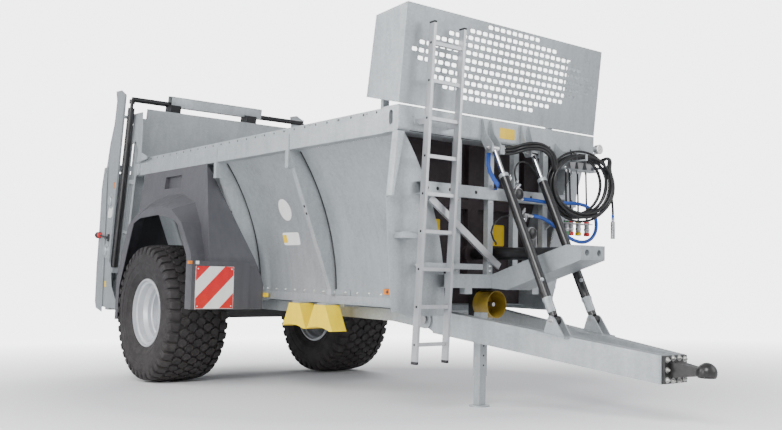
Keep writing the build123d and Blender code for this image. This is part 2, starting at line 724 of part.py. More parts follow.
def jack_leg():
    """The leg pinned in its sleeve, with a foot that lies flat on the ground."""
    half = JACK_IN / 2
    low = ground_z(JACK_X)
    tube = block(JACK_X - half, JACK_X + half, JACK_Y - half, JACK_Y + half, low + 4, draw_z(JACK_X))
    tube -= block(JACK_X - half + 5, JACK_X + half - 5, JACK_Y - half + 5, JACK_Y + half - 5, low + 30, 3000)
    foot = Cylinder(85, 12, align=(Align.CENTER, Align.CENTER, Align.MIN))
    foot = Pos(JACK_X, JACK_Y, low) * Rot(0, -PARK_PITCH, 0) * foot
    return tube + foot


def strut_line():
    """Unit vector of a drawbar cylinder, from its saddle pin up to its lug pin, and the distance."""
    x, z = saddle_pin()
    dx, dz = LUG_PIN[0] - x, LUG_PIN[1] - z
    length = math.hypot(dx, dz)
    return dx / length, dz / length, length


BARREL_LEN = 1250


def strut_barrel(side):
    x, z = saddle_pin()
    ux, uz, length = strut_line()
    y = side * LUG_Y
    fork = rod((x + ux * 30, y, z + uz * 30), (x + ux * 170, y, z + uz * 170), 33)
    eye = rod_y(x, z, y - 32, y + 32, 32)
    tube = rod((x + ux * 170, y, z + uz * 170), (x + ux * BARREL_LEN, y, z + uz * BARREL_LEN), 38)
    solid = fork + eye + tube - rod_y(x, z, y - 40, y + 40, 15 + SEAT)
    return solid - rod((x + ux * 200, y, z + uz * 200), (x + ux * (BARREL_LEN + 1), y, z + uz * (BARREL_LEN + 1)), 20 + SEAT)


OPEN_PIVOT = 2             # play at the rods' eyes, where the linkage is opened


def strut_rod(side):
    x, z = saddle_pin()
    ux, uz, length = strut_line()
    y = side * LUG_Y
    bar = rod((x + ux * 640, y, z + uz * 640), (x + ux * (length - 20), y, z + uz * (length - 20)), 20)
    eye = rod_y(LUG_PIN[0], LUG_PIN[1], y - 34, y + 34, 30)
    return bar + eye - rod_y(LUG_PIN[0], LUG_PIN[1], y - 40, y + 40, 15 + OPEN_PIVOT)


def strut_pins():
    """Top pins of the drawbar cylinders, held in the beam's lugs."""
    return Compound([rod_y(LUG_PIN[0], LUG_PIN[1], side * LUG_Y - 62, side * LUG_Y + 62, 15) for side in (1, -1)])


def saddle_pins():
    x, z = saddle_pin()
    return Compound([rod_y(x, z, side * LUG_Y - 56, side * LUG_Y + 56, 15) for side in (1, -1)])


# ---- power shaft ---------------------------------------------------------------------------------
PTO_Z = 1010
PTO_X1 = -70
GUARD_R = 115
SPLINE_R = 17.5            # a 1 3/8 inch stub
STUB_COLLAR = 30
SHAFT_OUT = 32
REAR_BOX_X = -5530


SHAFT_Z = 880              # the drive shaft runs under the floor's bearers
BOX_X0, BOX_X1 = -338, -246


def pto_guard():
    guard = rod((BOX_X1, 0, PTO_Z), (PTO_X1, 0, PTO_Z), GUARD_R, GUARD_R - 5)
    return guard + rod((BOX_X1, 0, PTO_Z), (BOX_X1 + 6, 0, PTO_Z), GUARD_R, 60)


def transfer_box():
    """The gearbox behind the guard: stub shaft above, drive shaft below, hung from the low beam."""
    top = PTO_Z + GUARD_R + GAP
    case = block(BOX_X0, BOX_X1, -75, 75, SHAFT_Z - 75, top)
    case += block(BOX_X0 + 20, FRAME_X0, -75, 75, top, top + 12)
    case += block(FRAME_X0 - 12, FRAME_X0, -75, 75, top, STEP_Z[0] + 40)
    case -= rod((BOX_X0 + 40, 0, PTO_Z), (0, 0, PTO_Z), STUB_COLLAR + SEAT)
    return case - rod((-2000, 0, SHAFT_Z), (BOX_X0 + 40, 0, SHAFT_Z), SHAFT_OUT + SEAT)


def drive_shaft():
    """The tube under the floor that drives the spreading unit."""
    start = BOX_X0 + 40
    tube = rod((start, 0, SHAFT_Z), (REAR_BOX_X, 0, SHAFT_Z), SHAFT_OUT)
    return tube


def pto_stub():
    start = BOX_X0 + 40
    stub = rod((start, 0, PTO_Z), (PTO_X1 - 40, 0, PTO_Z), SPLINE_R)
    return stub + rod((start, 0, PTO_Z), (BOX_X1 + 20, 0, PTO_Z), STUB_COLLAR)


# ---- rear gate and its lift ---------------------------------------------------------------------
GATE_H = 2214
GATE_T = 50
GATE_HALF = 1060
GATE_SKIN = 8
GATE_EDGE = 60             # width of the frame round the gate's back
GATE_STROKE = 1500
LIFT_Y = 1225
LIFT_BACK = 140            # how far the lift cylinders stand behind the leaning plane
LIFT_LOW, LIFT_HIGH = 262, 2200
BARREL_R = 40
TUBE_Z = 2304
TUBE_R = 32
LIFT_ROD_R = 20
CHANNEL_Y = (-741, 540)
BLOCK_Y = ((-774, -641), (289, 433))


def lean(solid):
    """Place a piece modelled upright at the origin on the leaning rear plane."""
    return Pos(REAR_X, 0, FLOOR_Z) * Rot(0, LEAN, 0) * solid


def gate():
    """The sheet gate with the frame and the two posts of its back."""
    back, front = -GATE_T - GAP, -GAP
    panel = block(back, front, -GATE_HALF, GATE_HALF, GAP, GATE_H)
    panel -= block(back - 1, front - GATE_SKIN, -GATE_HALF + GATE_EDGE, GATE_HALF - GATE_EDGE,
                   GAP + GATE_EDGE, GATE_H - GATE_EDGE)
    for y in (-GATE_HALF / 3, GATE_HALF / 3):
        panel += block(back, front, y - GATE_EDGE / 2, y + GATE_EDGE / 2, GAP, GATE_H)
    return lean(panel)


def gate_lift():
    """The tube over the gate's top, on its two blocks."""
    tube = rod((-LIFT_BACK, -LIFT_Y, TUBE_Z), (-LIFT_BACK, LIFT_Y, TUBE_Z), TUBE_R)
    for y0, y1 in BLOCK_Y:
        tube += block(-LIFT_BACK - TUBE_R, -GAP, y0, y1, GATE_H, TUBE_Z)
    return lean(tube)


def lift_channel():
    """The open channel over the tube, which guards the hoses."""
    half, low, high, wall = 60, TUBE_Z - 23, TUBE_Z + 107, 5
    y0, y1 = CHANNEL_Y
    shell = channel(-LIFT_BACK - half, -LIFT_BACK + half, y0, y1, low, high, wall, "-z")
    for y in (y0 + 200, y1 - 200):
        shell += block(-LIFT_BACK - half, -LIFT_BACK + half, y - 3, y + 3, TUBE_Z, high)
    for b0, b1 in BLOCK_Y:
        shell -= block(-LIFT_BACK - half - 1, -LIFT_BACK + half + 1, b0 - SEAT, b1 + SEAT, 0, TUBE_Z + SEAT)
    return lean(shell - rod((-LIFT_BACK, -LIFT_Y, TUBE_Z), (-LIFT_BACK, LIFT_Y, TUBE_Z), TUBE_R))


def lift_rod():
    """Left lift rod, which hangs from the tube into its barrel."""
    top = TUBE_Z - TUBE_R
    return lean(rod((-LIFT_BACK, LIFT_Y, LIFT_LOW + 40), (-LIFT_BACK, LIFT_Y, TUBE_Z), LIFT_ROD_R)
                + rod((-LIFT_BACK, LIFT_Y, top - 22), (-LIFT_BACK, LIFT_Y, TUBE_Z), 34))


def gate_barrel():
    """Left barrel of the gate's lift."""
    low = rod((-LIFT_BACK, LIFT_Y, LIFT_LOW - 40), (-LIFT_BACK, LIFT_Y, LIFT_LOW + 20), BARREL_R)
    return lean(low + rod((-LIFT_BACK, LIFT_Y, LIFT_LOW), (-LIFT_BACK, LIFT_Y, LIFT_HIGH), BARREL_R,
                          LIFT_ROD_R + SEAT))


# ---- rear posts, spreading unit -------------------------------------------------------------------
POST_IN = 1172             # inner face of a rear post, clear of the headboard's path
POST_T = 8
POST_TOP = 2130            # along the lean, from the floor's height
POST_BACK, POST_LOW = -225, -125
GUIDE_IN = GATE_HALF - 30
SPACER_X = (-5120, -4990)


def post_plate():
    """Left post in its own leaning frame: a plate with a gusset over the rail and three windows."""
    y1 = POST_IN + POST_T
    outline = [
        (POST_BACK, POST_LOW), (POST_BACK, POST_TOP - 20), (-150, POST_TOP), (107, POST_TOP + 40), (164, 1973),
        (200, 1690), (388, 1664), (388, 1630), (120, 1560), (100, POST_LOW),
    ]
    plate = prism_y(outline, POST_IN, y1)
    arched = [(-84, 1320), (-100, 1760), (7, 1812), (96, 1716), (112, 1620), (64, 1345)]
    plate -= prism_y(arched, POST_IN - 1, y1 + 1)
    for low, high in ((700, 1285), (120, 665)):
        plate -= block(-84, 60, POST_IN - 1, y1 + 1, low, high)
    for x, z in ((-172, 2079), (-150, 2001)):
        plate -= rod_y(x, z, POST_IN - 1, y1 + 1, 14)
    return plate


def gate_guide():
    """Left pair of strips that the gate slides between, in the leaning frame."""
    guide = block(0, GUIDE_T, GUIDE_IN, POST_IN, 8, POST_TOP - 40)
    behind = -GATE_T - 2 * GAP
    return guide + block(behind - GUIDE_T, behind, GUIDE_IN, POST_IN, 8, POST_TOP - 40)


def end_plate():
    """Left plate that closes the rear frame from the flared wall out to the post."""
    arc = wall_arc(0, FLOOR_Z, RAIL_Z0, SEAT)
    low = BEAM_Z[1]
    corners = [arc @ 1, (0, POST_IN, RAIL_Z0), (0, POST_IN, low), (0, FLOOR_HALF + SILL_T + SEAT, low), arc @ 0]
    edges = [arc] + [Line(a, b) for a, b in zip(corners, corners[1:])]
    slab = extrude(make_face(edges), 6000, dir=(-1, 0, 0))
    return slab & lean(block(0, GUIDE_T, 0, POST_IN, -100, 1500))


def rear_post():
    """Left post with the gate's guide, the end plate and the spacer on the rail."""
    spacer = block(SPACER_X[0], SPACER_X[1], RAIL_OUT, POST_IN, RAIL_Z0 + 10, RAIL_TOP - 65)
    return lean(post_plate() + gate_guide()) + end_plate() + spacer


def rear_posts():
    """Both posts, joined by the cross beam under the floor's end."""
    beam = block(BEAM_X0, BEAM_X1, -POST_IN - 1, POST_IN + 1, BEAM_Z[0], BEAM_Z[1])
    beam -= rod((BEAM_X0 - 1, 0, SHAFT_Z), (BEAM_X1 + 1, 0, SHAFT_Z), SHAFT_OUT + GAP)
    return rear_post() + mirror_y(rear_post()) + beam


UNIT_T = 6
UNIT_IN = LIFT_Y + 46      # inner face of the spreading unit's sides, outside the lift cylinders
DRUM_R, SHAFT_R = 222, 30
DRUM_LOW = (-5650, 1440)
DRUM_HIGH = (-5550, 2060)
DECK_X = -5570
DECK_Z = (715, 755)
UNIT_BEAM = (-5690, -5630, 2470, 2530)
BRACKET_UP = (1400, 2060)  # upper brackets, along the lean


def unit_side():
    """Left side of the spreading unit, with the drums' bearings and the hood's pin."""
    outline = [
        (-5203, 3350), (-5356, 3429), (-5537, 3439), (-5502, 3310), (-5556, 3034), (-5666, 2799), (-5775, 2440),
        (-5845, 2200), (-5868, 1818), (-5912, 1238), (-5916, 820), (-5880, 748), (-5204, 735), (-5212, 760),
        (-5438, 1005), (-5498, 1304),
    ]
    y0, y1 = UNIT_IN, UNIT_IN + UNIT_T
    side = prism_y(outline, y0, y1)
    for x, z in (DRUM_LOW, DRUM_HIGH):
        side += rod_y(x, z, y0 - 20, y0, 70)
        side -= rod_y(x, z, y0 - 30, y0 + 20, SHAFT_R + SEAT)
    edge = [(-5498, 1304), (-5203, 3350), (-5249, 3360), (-5544, 1310)]
    side += prism_y(edge, y1, y1 + 18)
    pin_end = y1 + GAP + HOOD_CHEEK_T
    side += rod_y(*HOOD_HINGE, y0, pin_end + 12, HOOD_PIN_R)
    side += rod_y(*HOOD_HINGE, pin_end + 1, pin_end + 12, HOOD_PIN_R + 9)
    return side


def unit_bracket():
    """Left brackets between the unit's side and the rear post: one under the lift barrel, two behind it."""
    y0, y1 = POST_IN + POST_T, UNIT_IN
    seat = LIFT_LOW - 40
    pieces = [block(-LIFT_BACK - 60, -60, y0, y1, seat - 60, seat)]
    for low in BRACKET_UP:
        pieces.append(block(POST_BACK, POST_BACK + 37, y0, y1, low, low + 40))
    return lean(join(pieces))


TEETH = 18
TOOTH_TURN = 40            # degrees from one row of teeth to the next
DRUM_TUBE_R = 105
DRUM_HALF = LIFT_Y - 80


def drum(place, turn):
    """A spreading drum: a tube with helically set rows of teeth."""
    x, z = place
    tube = rod_y(x, z, -DRUM_HALF, DRUM_HALF, DRUM_TUBE_R, DRUM_TUBE_R - 12)
    for end in (-DRUM_HALF, DRUM_HALF - 12):
        tube += rod_y(x, z, end, end + 12, DRUM_TUBE_R)
    solid = tube + rod_y(x, z, -UNIT_IN - UNIT_T, UNIT_IN + UNIT_T, SHAFT_R)
    root = DRUM_TUBE_R - 10
    outline = [(root, 30), (DRUM_R, 14), (DRUM_R, -14), (root, -30)]
    for index in range(TEETH):
        y = (DRUM_HALF - 50) * (2 * index / (TEETH - 1) - 1)
        for half in (0, 180):
            angle = math.radians(turn * index * TOOTH_TURN + half)
            c, s = math.cos(angle), math.sin(angle)
            solid += prism_y([(x + r * c - w * s, z + r * s + w * c) for r, w in outline], y - 5, y + 5)
    return solid


DISC_Y, DISC_Z, DISC_R = 500, 816, 350
DISC_SHAFT_R = 35
BLADE_H = 46
HOUSING_TOP = 806


def disc(side):
    """A spreading disc with six blades on its shaft."""
    y = side * DISC_Y
    plate = rod((DECK_X, y, DISC_Z), (DECK_X, y, DISC_Z + 8), DISC_R)
    shaft = rod((DECK_X, y, DECK_Z[1] + 20), (DECK_X, y, DISC_Z + 8 + BLADE_H), DISC_SHAFT_R)
    solid = plate + shaft
    for index in range(6):
        middle = DISC_R / 2 + 15
        blade = Pos(middle, 0, BLADE_H / 2) * Box(DISC_R - 50, 8, BLADE_H)
        solid += Pos(DECK_X, y, DISC_Z + 8) * Rot(0, 0, index * 60 + 10) * blade
    return solid


def deck():
    """The beam under the discs with its two angle gearboxes."""
    pieces = [block(DECK_X - 60, DECK_X + 60, -UNIT_IN, UNIT_IN, *DECK_Z)]
    for side in (1, -1):
        y = side * DISC_Y
        housing = rod((DECK_X, y, DECK_Z[1] - 1), (DECK_X, y, HOUSING_TOP), 90)
        housing -= rod((DECK_X, y, DECK_Z[1] + 19), (DECK_X, y, HOUSING_TOP + 1), DISC_SHAFT_R + SEAT)
        pieces.append(housing)
    x0, x1, z0, z1 = UNIT_BEAM
    pieces.append(block(x0, x1, -UNIT_IN, UNIT_IN, z0, z1) - block(x0 + 6, x1 - 6, -3000, 3000, z0 + 6, z1 - 6))
    return pieces


def rear_box():
    """The gearbox at the drive shaft's end, on the unit's deck."""
    case = block(REAR_BOX_X - 100, REAR_BOX_X + 60, -90, 90, DECK_Z[1] - 1, SHAFT_Z + 70)
    case -= rod((REAR_BOX_X, 0, SHAFT_Z), (REAR_BOX_X + 100, 0, SHAFT_Z), SHAFT_OUT + SEAT)
    return case


def unit_frame():
    """The unit's two sides with their brackets, beam, deck and gearboxes."""
    half = unit_side() + unit_bracket()
    return join([half, mirror_y(half), *deck(), rear_box()])


HOOD_HINGE = (-5735, 2450)
HOOD_PIN_R = 18
HOOD_T = 6
HOOD_CHEEK_T = 5
HOOD_SHEET_TOP = (-5816, 2440)
HOOD_BACK = ((-5874, 2233), (-5893, 1818), (-5939, 1238), (-5944, 805))


def hood_cheek():
    """Left cheek of the hood, outside the unit's side, with its hinge hole."""
    y0 = UNIT_IN + UNIT_T + GAP
    outline = [(-5700, 2497), (-5770, 2497), (-5802, 2488), *HOOD_BACK, (-5906, 724), (-5704, 683), (-5690, 1300)]
    cheek = prism_y(outline, y0, y0 + HOOD_CHEEK_T)
    return cheek - rod_y(*HOOD_HINGE, y0 - 1, y0 + HOOD_CHEEK_T + 1, HOOD_PIN_R + SEAT)


def hood():
    """The folded sheet across the back, between its two cheeks."""
    half = UNIT_IN + UNIT_T + GAP + HOOD_CHEEK_T
    outer = [HOOD_SHEET_TOP, *HOOD_BACK]
    inner = [(x + HOOD_T, z) for x, z in reversed(outer)]
    return prism_y(outer + inner, -half, half) + hood_cheek() + mirror_y(hood_cheek())


# ---- mudguards -----------------------------------------------------------------------------------
GUARD_OUT = 1444
GUARD_JOIN = 1200          # where the flare over the tyre meets the box behind it
GUARD_T = 8
GUARD_TOP = RAIL_Z0 - SEAT
BOX_SIDE = ((-4811, GUARD_TOP), (-3208, GUARD_TOP), (-2845, 1367), (-2830, 1290), (-2830, 850), (-4872, 640))
BOX_SLANT = ((1159, GUARD_TOP), (1280, 1367), (1344, 850), (1370, 640))
FLARE_ROOT = (
    (-4872, 640), (-4860, 1100), (-4800, 1560), (-4666, 1997), (-4511, 2075), (-4157, 2121), (-3654, 2111),
    (-3330, 1988), (-3161, 1743), (-2986, 1372), (-2900, 1172), (-2880, 850),
)
FLARE_LIP = (
    (-4862, 640), (-4850, 1100), (-4719, 1436), (-4548, 1733), (-4346, 1829), (-3973, 1905), (-3717, 1910),
    (-3428, 1866), (-3170, 1720), (-2931, 1414), (-2875, 1172), (-2872, 850),
)
ARCH = (
    (-4800, 500), (-4763, 1022), (-4564, 1436), (-4408, 1748), (-4229, 1798), (-3750, 1817), (-3379, 1762),
    (-3256, 1699), (-3041, 1398), (-2942, 1105), (-2930, 500),
)
POCKET = (-4193, -3783, 2138, 2273)
POCKET_DEPTH = 70


def face_y(points, y, inset):
    """An (x, z) outline at y, drawn in by inset, which keeps its corners."""
    outline = make_face(Polyline([(x, y, z) for x, z in points], close=True))
    return offset(outline, -inset, kind=Kind.INTERSECTION) if inset else outline


def guard_shape(inset):
    """The closed envelope of the left mudguard, drawn in by inset on every face."""
    box = extrude(face_y(BOX_SIDE, 500, inset), 900, dir=(0, 1, 0))
    slant = [(500, 500), *[(y - inset, z) for y, z in reversed(BOX_SLANT)], (1159 - inset, 2500), (500, 2500)]
    box = box & prism_x(slant, -5200, -2600)
    flare = loft([face_y(FLARE_ROOT, GUARD_JOIN - 100, inset), face_y(FLARE_LIP, GUARD_OUT - inset, inset)], ruled=True)
    x0, x1, z0, z1 = POCKET
    pocket = block(x0 - inset, x1 + inset, GUARD_JOIN - POCKET_DEPTH - inset, 1400, z0 - inset, z1 + inset)
    return box + flare - pocket


def mudguard():
    """Left mudguard: a moulded shell over the tyre that runs up to the rail, open below."""
    shell = guard_shape(0) - guard_shape(GUARD_T)
    low = [(-4852, 500), (-4852, 665), (-2884, 875), (-2884, 500)]
    shell -= prism_y(low, 0, GUARD_OUT - GUARD_T)
    shell -= prism_y(ARCH, GUARD_OUT - 3 * GUARD_T, GUARD_OUT + 1)
    inside = [
        (0, 0), (FENDER_IN, 0), (FENDER_IN, RIB_FOOT[1]), (rib_outer_y(RIB_FOOT[1], SEAT), RIB_FOOT[1]),
        (rib_outer_y(RAIL_Z0, SEAT), RAIL_Z0), (rib_outer_y(RAIL_Z0, SEAT), 3000), (0, 3000),
    ]
    return shell - prism_x(inside, -5300, -2000)


FENDER_IN = 660
PANEL_X = -2815            # front face of the panel ahead of the tyre
PANEL_T = 6
PANEL_Y, PANEL_Z = (830, 1480), (850, 1330)
PLATE_SIDE = 423
PLATE_Y0, PLATE_Z0 = 1015, 856


def guard_panel():
    """Left front panel: a shallow tray bolted to the mudguard's front."""
    y0, y1 = PANEL_Y
    z0, z1 = PANEL_Z
    back = BOX_SIDE[4][0] + SEAT
    tray = block(back, PANEL_X, y0, y1, z0, z1)
    tray -= block(back - 1, PANEL_X - PANEL_T, y0 + PANEL_T, y1 - PANEL_T, z0 + PANEL_T, z1 - PANEL_T)
    return tray + block(back - 120, PANEL_X, y1 - PANEL_T, y1, z0, z1)


def warning_plate():
    """Left square plate on the front panel."""
    x0 = PANEL_X + SEAT
    return block(x0, x0 + 3, PLATE_Y0, PLATE_Y0 + PLATE_SIDE, PLATE_Z0, PLATE_Z0 + PLATE_SIDE)


# ---- wheel chocks under the right sill ----------------------------------------------------------
CHOCK_X = (-2060, -1620)
CHOCK_Y = (-760, -600)
CHOCK_TOP, CHOCK_LOW = 944, 690
CHOCK_LEN = (180, 430)     # along the machine, at the top and at the bottom
WHEEL_HOLLOW = 620


def chock(x):
    """A wedge whose foot is hollowed to lie against a tyre."""
    half_top, half_low = CHOCK_LEN[0] / 2, CHOCK_LEN[1] / 2
    body = prism_y([(x - half_low, CHOCK_LOW), (x - half_top, CHOCK_TOP), (x + half_top, CHOCK_TOP),
                    (x + half_low, CHOCK_LOW + 20)], *CHOCK_Y)
    body -= rod_y(x - 30, CHOCK_LOW - WHEEL_HOLLOW + 50, CHOCK_Y[0] - 1, CHOCK_Y[1] + 1, WHEEL_HOLLOW)
    for offset_x in (-45, 0, 45):
        body -= block(x + offset_x - 8, x + offset_x + 8, CHOCK_Y[0] + 14, CHOCK_Y[1] - 14, CHOCK_TOP - 60, CHOCK_TOP + 1)
    return body


def chock_holder(x):
    """The bracket under the sill's lip that a chock hangs in."""
    top = SILL_Z - SILL_T - SEAT
    return block(x - 70, x + 70, CHOCK_Y[0] + 20, -FLOOR_HALF, CHOCK_TOP + SEAT, top)


# ---- lamps and the hose rack ----------------------------------------------------------------------
MARKER_X, MARKER_Z = (-830, -740), (1068, 1116)
LAMP_OUT = 36              # how far a panel's marker stands out from its corner


def lamps():
    """Side markers near the front, and markers on the front panels' outer corners."""
    pieces = []
    for side in (1, -1):
        y = wall_y(MARKER_Z[1], SEAT)
        pieces.append(block(*MARKER_X, side * y, side * (y + 26), *MARKER_Z))
        y = PANEL_Y[1] + SEAT
        pieces.append(block(PANEL_X - 26, PANEL_X + 8, side * y, side * (y + LAMP_OUT), PANEL_Z[1] - 32, PANEL_Z[1]))
    return Compound(pieces)


# The coil of spare hose: a ring that hangs on the rack's hook, turned a little outward.
COIL_AT = (290, 621, 2044)
COIL_R, COIL_TUBE_R = 270, 45
COIL_TURN = 25             # degrees that the ring's far side stands forward

RACK_X = (60, 112, 118, 178)   # the shelf's back, the upright's two faces, the shelf's front
RACK_Y, RACK_Z = (600, 1040), (2203, 2331)
RACK_T = 5
ARM_Y = (630, 962)         # the two arms that hold the rack off the beam
HOOK_Y = (600, 624)
HOOK_T = 12
VALVE_Y = (668, 771, 886)
VALVE_W = 84


def coil_point(angle, radius=COIL_R):
    """A point of the coil's ring, by its angle from the far side, in degrees."""
    x, y, z = COIL_AT
    turn, a = math.radians(COIL_TURN), math.radians(angle)
    u = radius * math.cos(a)
    return x + u * math.sin(turn), y + u * math.cos(turn), z + radius * math.sin(a)


def hook_top():
    """The height of the hook that the coil's inner side lies on."""
    across = (COIL_AT[1] - HOOK_Y[0]) / math.cos(math.radians(COIL_TURN))
    return COIL_AT[2] + math.sqrt((COIL_R - COIL_TUBE_R) ** 2 - across ** 2) - 2 * SEAT


def hose_rack():
    """The folded rack for hoses, held off the top beam by two arms, with the coil's hook."""
    y0, y1 = RACK_Y
    z0, z1 = RACK_Z
    back, face, front, edge = RACK_X
    shelf = block(back, edge, y0, y1, z0, z0 + RACK_T) + block(face, front, y0, y1, z0, z1)
    for y in ARM_Y:
        shelf += prism_y([(SEAT, BEAM_Z0 + 10), (SEAT, BEAM_Z0 + 90), (face, z1), (face, z0 + RACK_T),
                          (back, z0 + RACK_T)], y, y + 8)
    top = hook_top()
    tip = COIL_AT[0] + 85
    shelf += block(front - 1, tip, *HOOK_Y, top - HOOK_T, top)
    return shelf + block(tip - 8, tip, *HOOK_Y, top - HOOK_T, top + 40)


GAUGE = (1070, 2420)
GAUGE_R = 42
STEM_R = 9
ACCUMULATOR_R = 52
FIRST_AT, SECOND_AT = (60, 50, 1940), (225, 38, 1607)   # back of each accumulator, on its neck
ACCUMULATOR_LEN = 65
NECK_R, PORT_R = 24, 14
BLUE_START, BLUE_END = (95, 122, 1905), (100, 240, 1768)
LOOP_START = (90, 50, 2008)


def gauge():
    """The pressure gauge on a bent stem from the rack's end."""
    y, z = GAUGE
    x0 = RACK_X[1] - 6
    face = rod((x0, y, z), (x0 + 36, y, z), GAUGE_R)
    foot_y, foot_z = RACK_Y[1] - 20, RACK_Z[1] + SEAT
    nut = rod((x0 + 10, foot_y, foot_z), (x0 + 10, foot_y, foot_z + 36), STEM_R + 4)
    return face + nut + rod((x0 + 10, foot_y, foot_z + 25), (x0 + 10, y, z), STEM_R)


def accumulator(at):
    """A round black pressure vessel on its steel neck, along X."""
    x, y, z = at
    return rod((x - 25, y, z), (x, y, z), NECK_R) + rod((x - 1, y, z), (x + ACCUMULATOR_LEN, y, z), ACCUMULATOR_R)


def valves():
    """Three hooded valves on the rack, the gauge, two accumulators and the blue hose's elbow."""
    pieces = [gauge()]
    z = RACK_Z[0] + RACK_T + SEAT
    x0 = RACK_X[2] + SEAT
    for y in VALVE_Y:
        pieces.append(prism_x([(y - 26, z), (y + 26, z), (y + VALVE_W / 2, z + 60), (y + VALVE_W / 2, z + 145),
                               (y - VALVE_W / 2, z + 145), (y - VALVE_W / 2, z + 60)], x0, x0 + 56))
    x, y, z = FIRST_AT
    first = accumulator(FIRST_AT) + rod((SEAT, y, z), (x, y, z), NECK_R)
    first += rod((BLUE_START[0], y + 20, BLUE_START[2]), BLUE_START, PORT_R)
    pieces.append(first + rod((LOOP_START[0], LOOP_START[1], z), LOOP_START, PORT_R - 2))
    x, y, z = SECOND_AT
    side = BOX_HALF + SEAT
    carrier = block(x - 30, x + 10, side, side + 8, 1250, z + 33) + block(x - 30, x - 22, y - 34, side + 8, z - 27, z + 33)
    pieces.append(accumulator(SECOND_AT) + carrier)
    x, y, z = BLUE_END
    post = POST_Y[0]
    elbow = block(-10 + SEAT, x + 15, post - 20, post + POST_W / 2 - 5, z - 15, z + 15)
    pieces.append(elbow + rod((x, post, z), BLUE_END, PORT_R))
    return Compound([solid for piece in pieces for solid in piece.solids()])


# ---- hydraulic hoses at the front ----------------------------------------------------------------
COUPLER_BAR = (70, 180, 480, 940, 1722, 1730)
LINE_X, LINE_R = 140, 8
LINES = ((615, 630), (662, 690), (771, 790), (886, 905))   # across, at the rack and at the couplers
COUPLER_R, COUPLER_LOW = 22, 1655
HOSE_CLAMP = (-10, 98, -160, -105, 2262, 2338)
LINE_GAP = 0.8


def couplers():
    """The bar with the parked couplers, carried by the frame's left post."""
    x0, x1, y0, y1, z0, z1 = COUPLER_BAR
    bar = block(x0, x1, y0, y1, z0, z1) + block(-10 + SEAT, x0 + 1, POST_Y[1] - 25, POST_Y[1] + 25, z0, z1)
    bar += prism_y([(-10 + SEAT, z0 - 60), (-10 + SEAT, z0 + 1), (x0, z0 + 1), (x0, z0 - 8)], POST_Y[1] - 4, POST_Y[1] + 4)
    for _, y in LINES:
        bar += rod((LINE_X, y, COUPLER_LOW), (LINE_X, y, z1 + 22), COUPLER_R)
    return bar


def feed_lines():
    """The four straight lines between the rack and the couplers."""
    low, high = COUPLER_BAR[5] + 22 + LINE_GAP, RACK_Z[0] - LINE_GAP
    return Compound([rod((LINE_X, y1, low), (LINE_X, y0, high), LINE_R) for y0, y1 in LINES])


def corner_radii(points):
    """Each inner corner's radius, as large as the shorter of its two runs allows."""
    radii = []
    for a, b, c in zip(points, points[1:], points[2:]):
        before, after = Vector(*b) - Vector(*a), Vector(*c) - Vector(*b)
        half_turn = math.radians(before.get_angle(after)) / 2
        radii.append(0.45 * min(before.length, after.length) / math.tan(half_turn))
    return radii


def hose(name, points, radius):
    """A hose along straight runs joined by tangent arcs."""
    radii = corner_radii(points)
    path = FilletPolyline(*points, radius=radii)
    plane = Plane(origin=points[0], z_dir=Vector(*points[1]) - Vector(*points[0]))
    solid = sweep(plane * Circle(radius), path=path)
    length = path.length
    print(f"{name}: {length:.0f} mm, bends", [round(r) for r in radii], "mm,",
          f"volume over section times length {solid.volume / (math.pi * radius ** 2 * length):.4f}")
    return solid


BUNDLE_R, TAIL_R, BLUE_R, LOOP_R = 34, 10, 12, 8
BUNDLE = (
    (60, HOSE_CLAMP[3] + SEAT, 2300), (60, 5, 2300), (160, 105, 2350), (206, 235, 2356), (214, 345, 2300),
    (206, 399, 2214), coil_point(164),
)
TAIL = (coil_point(-14, COIL_R + 18), (421, 905, 1900), (423, 911, 1820), (423, 911, 1745))
BLUE = (
    (BLUE_START[0], BLUE_START[1] + SEAT, BLUE_START[2]), (95, 255, 1905), (116, 400, 1893), (160, 560, 1896),
    (172, 720, 1904), (173, 868, 1890), (172, 965, 1830), (172, 1005, 1740), (171, 985, 1645), (170, 905, 1580),
    (170, 785, 1558), (170, 630, 1594), (160, 480, 1680), (100, 360, 1768), (BLUE_END[0], BLUE_END[1] + SEAT, BLUE_END[2]),
)
LOOP = (
    (LOOP_START[0], LOOP_START[1], LOOP_START[2] + SEAT), (90, 50, 2050), (88, 25, 2116), (87, 44, 2186),
    (86, 103, 2227), (85, 188, 2219), (84, 262, 2167), (84, 335, 2080), (84, 405, 1990), (85, 472, 1895), (92, 516, 1808),
    (92, 516, COUPLER_BAR[5] + SEAT),
)


def hose_coil():
    """The coil's outer shape: one closed ring."""
    turn = math.radians(COIL_TURN)
    return Plane(origin=COIL_AT, z_dir=(math.cos(turn), -math.sin(turn), 0)) * Torus(COIL_R, COIL_TUBE_R)


PLUG_R, PLUG_LEN = 19, 150


def hose_plug():
    """The steel coupler on the hanging hose's end."""
    x, y, z = TAIL[-1]
    top = z - SEAT
    plug = rod((x, y, top - PLUG_LEN), (x, y, top), PLUG_R)
    return plug - rod((x, y, top - PLUG_LEN - 1), (x, y, top - PLUG_LEN + 40), PLUG_R - 6)


BRACE_LOW, BRACE_HIGH = (-60, 1330), (-838, 1858)
BRACE_W = 56


def brace():
    """The diagonal box-section stay across the frame's posts."""
    (y0, z0), (y1, z1) = BRACE_LOW, BRACE_HIGH
    length = math.hypot(y1 - y0, z1 - z0)
    ny, nz = -(z1 - z0) / length * BRACE_W / 2, (y1 - y0) / length * BRACE_W / 2
    outline = [(y0 + ny, z0 + nz), (y1 + ny, z1 + nz), (y1 - ny, z1 - nz), (y0 - ny, z0 - nz)]
    x0 = -10 + SEAT
    return prism_x(outline, x0, x0 + 28)


STEP_BAR = (-920, -270, 1300, 1346)


